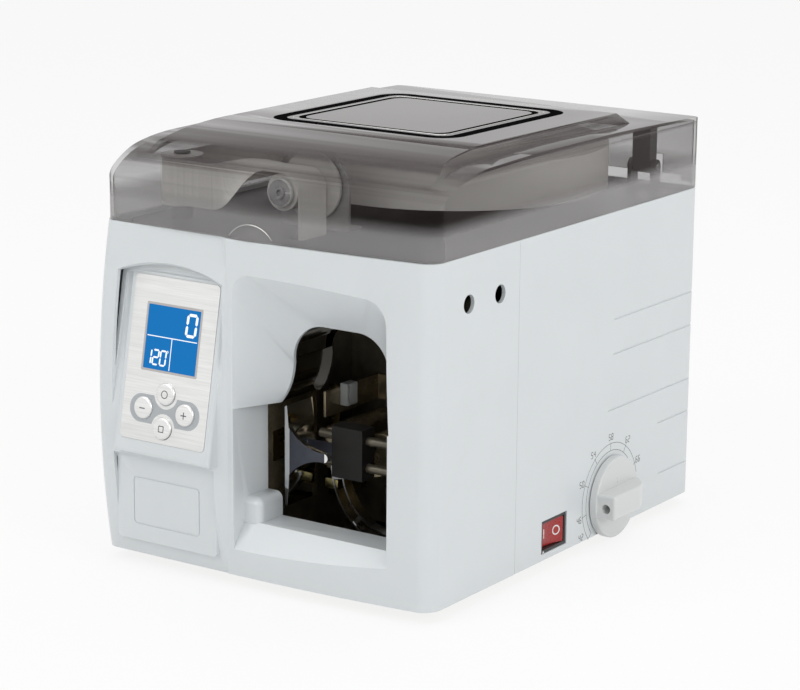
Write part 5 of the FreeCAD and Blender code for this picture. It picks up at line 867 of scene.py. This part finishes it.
@dataclass
class Works:
    """What shows in the throat: clamp, anvil, tape track and the drive behind them."""

    bar_front: float = -103.0
    bulkhead_face: float = -40.0
    guide_middle: tuple = (57.0, 62.0)
    guide_front: float = -104.4
    guide_rear: float = -96.0
    guide_radii: tuple = (50.0, 42.0)
    guide_sheet: float = 1.2
    web_half: float = 1.6
    web_inset: float = 0.6
    web_rear: float = -102.5
    frame_face: float = 101.0
    blade_right: float = -3.3
    fin_tip: float = 24.5
    carriage: tuple = (17.9, -120.0)

    def bar(self, name: str, profile: np.ndarray, round_off: float) -> bpy.types.Mesh:
        """A bar along Y, from the bulkhead to a front end that is rounded in a quarter circle.

        Args:
            name: The mesh's name.
            profile: Points x 2 in X and Z of the case frame, in millimetres.
            round_off: How far the front edge is rounded.

        Returns:
            The mesh.
        """
        turn = np.linspace(0.0, math.pi / 2.0, 7)
        places = np.append(self.bar_front + round_off * (1.0 - np.cos(turn)), self.bulkhead_face)
        inset = np.append(round_off * (1.0 - np.sin(turn)), 0.0)
        middle = profile.mean(axis=0)
        half = np.abs(profile - middle).max(axis=0)
        rings = [upright(middle + (profile - middle) * (1.0 - less / half), y)
                 for y, less in zip(places, inset)]
        return solid_mesh(name, DATUM.placed(np.array(rings)))

    def arc_sheet(self, radius: float) -> bpy.types.Mesh:
        """A curved sheet about the guide's middle, as far as the frame: a rectangle carried round an arc."""
        last = -math.acos(min(1.0, (self.frame_face - self.guide_middle[0]) / radius))
        turn = np.linspace(-math.pi, last, 60)
        ray = np.stack([np.cos(turn), np.sin(turn)], axis=1)
        near = radius - self.guide_sheet
        corners = ((near, self.guide_front), (radius, self.guide_front), (radius, self.guide_rear),
                   (near, self.guide_rear))
        rings = np.stack([upright(np.array(self.guide_middle) + ray * r, y) for r, y in corners], axis=1)
        return solid_mesh("sheet", DATUM.placed(rings))

    def web(self, angle: float) -> bpy.types.Mesh:
        """A flat rib from the inner sheet to the outer one."""
        ray = np.array([math.cos(angle), math.sin(angle)])
        side = np.array([-ray[1], ray[0]]) * self.web_half
        near, far = (ray * (radius - self.web_inset) for radius in sorted(self.guide_radii))
        flat = np.array(self.guide_middle) + np.array([near - side, far - side, far + side, near + side])
        rings = [upright(flat, y) for y in (self.guide_front + self.web_inset, self.web_rear)]
        return solid_mesh("web", DATUM.placed(np.stack(rings)))

    def guides(self, bench: Bench) -> None:
        """The bar and the strip behind the anvil, on the bulkhead, and the curved guide on the frame."""
        for name, outline, middle, round_off, slot, finish in (
                ("guide_bar", (14.0, 30.0, 6.5, 8), (5.0, 72.0), 3.0, "dark_steel", "brown"),
                ("guide_strip", (11.0, 8.0, 1.5, 4), (6.0, 48.0), 1.0, "zinc_steel", "chromate")):
            profile = rounded_outline(*outline) + np.array(middle)
            bench.add(name, self.bar(name, profile, round_off), "root", slot, finish)
        sheets = [self.arc_sheet(radius) for radius in self.guide_radii]
        webs = [self.web(math.radians(angle)) for angle in (-170.0, -130.0, -90.0, -55.0)]
        bench.add("tape_guide", join_meshes("tape_guide", sheets + webs), "root", "bright_steel", "steel")

    def jaw(self, bench: Bench) -> None:
        """The clamp: bright blade, blued fin with a bright tip, black carriage."""
        jaw = bench.skin("clamp_jaw", "chrome", 0.6)
        bench.patch(jaw, "blued", -BACK, self.blade_right)
        bench.patch(jaw, "chrome", -BACK, self.fin_tip)
        for towards in (-BACK, UP, RIGHT, -RIGHT):
            bench.patch(jaw, "matt", towards, *self.carriage)

    def build(self, bench: Bench) -> None:
        """Dress the mechanism."""
        self.guides(bench)
        bench.skins(
            ("anvil_plate", "brown", 0.2), ("tape_track", "dim_chrome", 0.1), ("note_rail", "brown", 0.3),
            ("note_sensor", "clear", 0.6), ("clamp_rods", "dark", 0.2), ("crank_disc", "dim_chrome", 0.3),
            ("clamp_motor", "brown", 0.4), ("left_frame", "dark", 0.2), ("right_frame", "dark", 0.2),
            ("front_bulkhead", "dark", 0.2), ("note_stop", "chromate", 0.2))
        self.jaw(bench)
        bench.skins(
            ("rear_bulkhead", "dark"), ("frame_screws", "steel"), ("head_bracket", "bracket"),
            ("heater_block", "brass"), ("cutter_blade", "steel"), ("cam_shaft", "turned"),
            ("cam_gear", "brass"), ("cam_set", "turned"), ("motor_pinion", "brass"),
            ("drive_motor", "steel"), ("power_supply", "iron"), ("dial_shaft", "turned"))


@dataclass
class Panel:
    """The tilted control panel: plate, display, four keys and their marks."""

    width: float = 43.0
    height: float = 42.0
    pane_rise: float = 0.35
    bezel: float = 1.3
    bezel_lap: float = 0.2
    bezel_corners: tuple = (0.9, 0.3)
    bezel_lifts: tuple = (-0.10, 0.14)
    side_margin: float = 1.2
    figure_margin: float = 3.4
    big_margin: float = 3.6
    divider: float = 0.6
    divider_margin: float = 0.8
    pitch: float = 6.0
    degree_at: tuple = (-2.6, 12.6)
    degree_radii: tuple = (0.8, 0.4)
    stroke_lifts: tuple = (0.02, 0.06)
    big: Figures = Figures(7.2, 13.6, 1.9)
    small: Figures = Figures(4.4, 9.4, 1.15)
    field_height: float = 18.6
    field_reach: float = 11.5
    field_corner: float = 9.2
    rim_radii: tuple = (9.6, 7.55)
    print_sink: float = 0.04
    field_thick: float = 0.06
    rim_thick: float = 0.09
    sign_sink: float = 0.05
    sign_thick: float = 0.08

    def plane(self) -> Plane:
        """The plate's plane, with its origin at the display's middle."""
        up = (middle_of("button_clear") - middle_of("button_set")).normalized()
        plane = Plane(middle_of("lcd_window"), RIGHT, up)
        plane.origin += plane.out() * self.pane_rise * MM
        return plane

    def build(self, bench: Bench) -> None:
        """Dress the panel and lay on its marks."""
        bench.skins(("panel_plate", "panel", 0.15), ("lcd_window", "screen"))
        bench.dress("display_board", "board")
        bench.skins(*(("button_" + key, "key", 0.15) for key in ("clear", "set", "minus", "plus")))
        plane = self.plane()
        self.frame_and_digits(bench, plane)
        self.field(bench, plane)
        self.key_marks(bench, plane)

    def frame_and_digits(self, bench: Bench, plane: Plane) -> None:
        """The display's thin frame, its dividing lines and its figures."""
        over, lap = 2.0 * self.bezel, 2.0 * self.bezel_lap
        outer = rounded_outline(self.width + over, self.height + over, self.bezel_corners[0], 4)
        inner = rounded_outline(self.width - lap, self.height - lap, self.bezel_corners[1], 4)
        bezel = plane.mark("display_frame", (outer, inner), *self.bezel_lifts)
        bench.add("display_frame", bezel, "root", "lcd_glass", "bezel")
        right, top, half = self.width / 2.0, self.height / 2.0, self.divider / 2.0
        left, low = self.side_margin - right, self.figure_margin - top
        shapes = self.big.strokes("0", right - self.big_margin - self.big.width, -low - self.big.height)
        for index, figure in enumerate("120"):
            shapes += self.small.strokes(figure, left + index * self.pitch, low)
        shapes.append(box_outline(left, -left, self.divider - half, self.divider + half))
        shapes.append(box_outline(-half, half, self.divider_margin - top, self.divider - half))
        at = np.array([self.degree_at[0], self.degree_at[1] - top])
        shapes.append(tuple(circle_outline(radius, 16) + at for radius in self.degree_radii))
        mesh = join_meshes("display_figures", [plane.mark("stroke", s, *self.stroke_lifts) for s in shapes])
        bench.add("display_figures", mesh, "root", "lcd_glass", "lit")

    def spot(self, plane: Plane, node: str) -> np.ndarray:
        """A key's middle on the plane, in millimetres."""
        middle = middle_of(node) - plane.origin
        return np.array([middle.dot(plane.along), middle.dot(plane.up)]) / MM

    def key_top(self, plane: Plane, node: str) -> float:
        """How far a node's flat top stands over the plane, in millimetres."""
        return max((v.co - plane.origin).dot(plane.out()) for v in frame["nodes"][node].data.vertices) / MM

    def field(self, bench: Bench, plane: Plane) -> None:
        """The printed grey capsule that joins the two side keys, and the rims round the other two."""
        left, right = self.spot(plane, "button_minus"), self.spot(plane, "button_plus")
        low = self.key_top(plane, "panel_plate") - self.print_sink
        width = right[0] - left[0] + 2.0 * self.field_reach
        shape = rounded_outline(width, self.field_height, self.field_corner, 12)
        shape += np.array([(left[0] + right[0]) / 2.0, left[1]])
        mesh = plane.mark("key_field", shape, low, low + self.field_thick)
        bench.add("key_field", mesh, "root", "panel_steel", "field")
        rims = []
        for node in ("button_clear", "button_set"):
            at = self.spot(plane, node)
            band = tuple(circle_outline(radius) + at for radius in self.rim_radii)
            rims.append(plane.mark("rim", band, low, low + self.rim_thick))
        bench.add("key_rims", join_meshes("key_rims", rims), "root", "panel_steel", "panel")

    def key_marks(self, bench: Bench, plane: Plane) -> None:
        """Plain signs on the four keys: minus, plus, a ring and a square."""
        bar = rounded_outline(4.6, 0.7, 0.2, 2)
        post = rounded_outline(0.7, 4.6, 0.2, 2)
        square = rounded_outline(4.4, 4.4, 0.6, 3)
        ring = circle_outline(2.7, 32), circle_outline(2.1, 32)
        for key, shapes in (("minus", [bar]), ("plus", [bar, post]), ("clear", [ring]),
                            ("set", [(square, square * 0.72)])):
            at = self.spot(plane, "button_" + key)
            low = self.key_top(plane, "button_" + key) - self.sign_sink
            meshes = []
            for shape in shapes:
                moved = tuple(part + at for part in shape) if isinstance(shape, tuple) else shape + at
                meshes.append(plane.mark("sign", moved, low, low + self.sign_thick))
            mesh = join_meshes("sign_" + key, meshes)
            bench.add("sign_" + key, mesh, key + "_key_body", "key_metal", "key_print")


@dataclass
class Dial:
    """The length dial: knob, and the printed scale round it on the case's right side."""

    outer: float = 36.5
    inner: float = 31.5
    line: float = 0.32
    ink: float = 0.03
    tick_laps: tuple = (0.2, 0.8)
    inner_start: float = 12.0
    figures: tuple = ((42, 220.7), (46, 191.2), (50, 156.4), (54, 124.7), (58, 90.5), (62, 56.7), (66, 24.7),
                      (70, -6.0))
    small: Figures = Figures(2.0, 4.2, 0.5)
    figure_reach: float = 4.6
    figure_half: float = 1.35
    figure_pitch: float = 1.7
    low_shift: float = 6.2
    edge_gap: float = 1.2

    def plane(self) -> Plane:
        """The case's right side, with its origin on the knob's axis."""
        middle = middle_of("dial_knob")
        return Plane(Vector((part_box("rear_shell")[1].x, middle.y, middle.z)), BACK, UP)

    def arc(self, plane: Plane, radius: float, start: float, end: float) -> bpy.types.Mesh:
        """A thin printed arc: a rectangle carried from one angle to another."""
        turn = np.radians(np.linspace(start, end, 72))
        ray = np.stack([np.cos(turn), np.sin(turn)], axis=1)
        near, far = ray * (radius - self.line / 2.0), ray * (radius + self.line / 2.0)
        rings = [plane.points(flat, lift)
                 for flat, lift in ((near, 0.0), (near, self.ink), (far, self.ink), (far, 0.0))]
        return solid_mesh("arc", np.stack(rings, axis=1))

    def tick(self, ray: np.ndarray) -> np.ndarray:
        """The outline of a short line across both arcs."""
        side = np.array([-ray[1], ray[0]]) * self.line / 2.0
        near, far = ray * (self.inner - self.tick_laps[0]), ray * (self.outer + self.tick_laps[1])
        return np.array([near - side, far - side, far + side, near + side])

    def build(self, bench: Bench) -> None:
        """Dress the knob and print the scale; a figure too low for the case's side stands beside the arc."""
        bench.skin("dial_knob", "knob", bevel=0.3)
        plane = self.plane()
        lowest = (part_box("rear_shell")[0].z - plane.origin.z) / MM + self.edge_gap
        start, end = self.figures[-1][1], self.figures[0][1]
        meshes = [self.arc(plane, self.outer, start, end),
                  self.arc(plane, self.inner, start + self.inner_start, end)]
        for figure, angle in self.figures:
            ray = np.array([math.cos(math.radians(angle)), math.sin(math.radians(angle))])
            meshes.append(plane.mark("tick", self.tick(ray), 0.0, self.ink))
            left, low = ray * (self.outer + self.figure_reach)
            left, low = left - self.small.width * self.figure_half, low - self.small.height / 2.0
            if low < lowest:
                left, low = left - self.low_shift, lowest
            for place, sign in enumerate(str(figure)):
                strokes = self.small.strokes(sign, left + place * self.small.width * self.figure_pitch, low)
                meshes += [plane.mark("figure", stroke, 0.0, self.ink) for stroke in strokes]
        bench.add("dial_scale", join_meshes("dial_scale", meshes), "root", "case_plastic", "print")


@dataclass
class Power:
    """The power switch, its marks, and the mains inlet."""

    ink: float = 0.05
    arrow: tuple = ((2.2, 0.2), (4.6, 0.2), (3.4, 1.9))
    ring_radii: tuple = (3.4, 2.5)
    bar: tuple = (0.9, 6.6, 0.3, 2)
    halves: tuple = (0.74, 0.26)

    def build(self, bench: Bench) -> None:
        """Dress the switch and put plain signs on its rocker."""
        bench.skins(("switch_housing", "black", 0.3), ("rocker", "red", 0.4), ("power_inlet", "black", 0.3))
        low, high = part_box("switch_housing")
        plane = Plane(Vector((high.x, low.y, low.z)), BACK, UP)
        arrow = plane.mark("switch_arrow", np.array(self.arrow), 0.0, self.ink)
        bench.add("switch_arrow", arrow, "root", "black_plastic", "white_print")
        self.signs(bench)

    def signs(self, bench: Bench) -> None:
        """A ring on the rocker's rear half and a bar on its front half, draped on its faces."""
        surface = surface_of("rocker_skin")
        low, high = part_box("rocker")
        ring = tuple(circle_outline(radius, 32) for radius in self.ring_radii)
        meshes = []
        for share, shape in zip(self.halves, (ring, rounded_outline(*self.bar))):
            spot = Vector((1.0, low.y + (high.y - low.y) * share, (low.z + high.z) / 2.0))
            hit, normal, _, _ = surface.ray_cast(spot, -RIGHT)
            sign = Plane(hit, UP.cross(normal).normalized(), UP).mark("sign", shape, 0.0, self.ink)
            for vertex in sign.vertices:
                rise = (vertex.co - hit).dot(normal)
                over = Vector((1.0, vertex.co.y, vertex.co.z))
                vertex.co = surface.ray_cast(over, -RIGHT)[0] + normal * rise
            meshes.append(sign)
        mesh = join_meshes("rocker_signs", meshes)
        bench.add("rocker_signs", mesh, "rocker_body", "red_plastic", "white_print")


@dataclass
class Studio:
    """Camera, pale floor and plain soft light."""

    yaw: float = math.radians(34.2944)
    pitch: float = math.radians(13.6452)
    roll: float = math.radians(0.4591)
    focal_px: float = 2736.4
    image_width: float = 800.0
    sensor: float = 36.0
    eye: tuple = (1012.73, -1500.11, 559.95)
    world_light: float = 0.58
    floor_half: float = 6.0
    floor_glow: float = 0.85

    def camera(self) -> None:
        """Set the camera where the photograph was taken from."""
        back = Vector((math.sin(self.yaw) * math.cos(self.pitch), -math.cos(self.yaw) * math.cos(self.pitch),
                       math.sin(self.pitch)))
        right = UP.cross(back).normalized()
        up = back.cross(right)
        c, s = math.cos(self.roll), math.sin(self.roll)
        turned = Matrix((c * right + s * up, -s * right + c * up, back)).transposed().to_4x4()
        lens = bpy.data.cameras.new("camera")
        lens.sensor_width = self.sensor
        lens.lens = self.focal_px / self.image_width * self.sensor
        lens.clip_end = 20.0
        camera = bpy.data.objects.new("camera", lens)
        camera.matrix_world = Matrix.Translation(DATUM.at(*self.eye)) @ turned
        bpy.context.scene.collection.objects.link(camera)
        bpy.context.scene.camera = camera

    def lamp(self, name: str, place: tuple, aim: tuple, size: tuple, power: float) -> None:
        """A rectangular soft light; places and sizes in metres, power in watts."""
        data = bpy.data.lights.new(name, "AREA")
        data.shape = "RECTANGLE"
        data.size, data.size_y = size
        data.energy = power
        lamp = bpy.data.objects.new(name, data)
        turned = (Vector(aim) - Vector(place)).to_track_quat("-Z", "Y").to_matrix().to_4x4()
        lamp.matrix_world = Matrix.Translation(place) @ turned
        bpy.context.scene.collection.objects.link(lamp)

    def seen(self, graph: Graph) -> Signal:
        """One for camera, glossy and transmission rays."""
        path = graph.node("ShaderNodeLightPath")
        rays = graph.out(path, "Is Camera Ray").larger(graph.out(path, "Is Glossy Ray"))
        return rays.larger(graph.out(path, "Is Transmission Ray"))

    def world(self) -> None:
        """White to the eye and to gloss, a little dimmer as a light."""
        graph = Graph("world", bpy.data.worlds.new("world"))
        strength = self.seen(graph) * (1.0 - self.world_light) + self.world_light
        back = graph.node("ShaderNodeBackground", {}, {"Color": (1.0, 1.0, 1.0, 1.0), "Strength": strength})
        bpy.context.scene.world = graph.close(back, "ShaderNodeOutputWorld")

    def floor(self) -> None:
        """A pale floor that keeps the machine's shadow."""
        mesh = bpy.data.meshes.new("floor")
        corners = box_outline(-self.floor_half, self.floor_half, -self.floor_half, self.floor_half)
        mesh.from_pydata(np.insert(corners, 2, 0.0, axis=1).tolist(), [], [(0, 1, 2, 3)])
        floor = bpy.data.objects.new("floor", mesh)
        bpy.context.scene.collection.objects.link(floor)
        graph = Graph("pale_floor")
        matt = graph.node("ShaderNodeBsdfDiffuse", {}, {"Color": (0.90, 0.90, 0.90, 1.0)})
        glow = graph.node("ShaderNodeEmission", {}, {"Color": (1.0, 1.0, 1.0, 1.0), "Strength": 1.0})
        mix = graph.node("ShaderNodeMixShader", {}, {0: self.seen(graph) * self.floor_glow,
                                                     1: graph.out(matt), 2: graph.out(glow)})
        mesh.materials.append(graph.close(mix))

    def build(self) -> None:
        """Set up everything that isn't the machine."""
        self.camera()
        self.world()
        self.floor()
        self.lamp("key", (-0.9, -2.2, 1.7), (0.0, 0.0, 0.15), (1.6, 1.6), 16.0)
        self.lamp("side", (2.4, -0.6, 1.3), (0.0, 0.0, 0.12), (1.4, 1.4), 18.0)
        self.lamp("top", (0.0, 0.3, 2.4), (0.0, 0.0, 0.1), (1.8, 1.8), 12.0)
        bpy.context.scene.view_settings.view_transform = "Standard"


def main() -> None:
    """Build the machine's looks, then its surroundings."""
    logging.basicConfig(level=logging.INFO, format="%(name)s: %(message)s")
    bench = Bench()
    for assembly in (Case(), Lid(), TapeSupply(), Works(), Panel(), Dial(), Power()):
        LOG.info("building %s", type(assembly).__name__)
        assembly.build(bench)
    Studio().build()


if __name__ == "__main__":
    main()
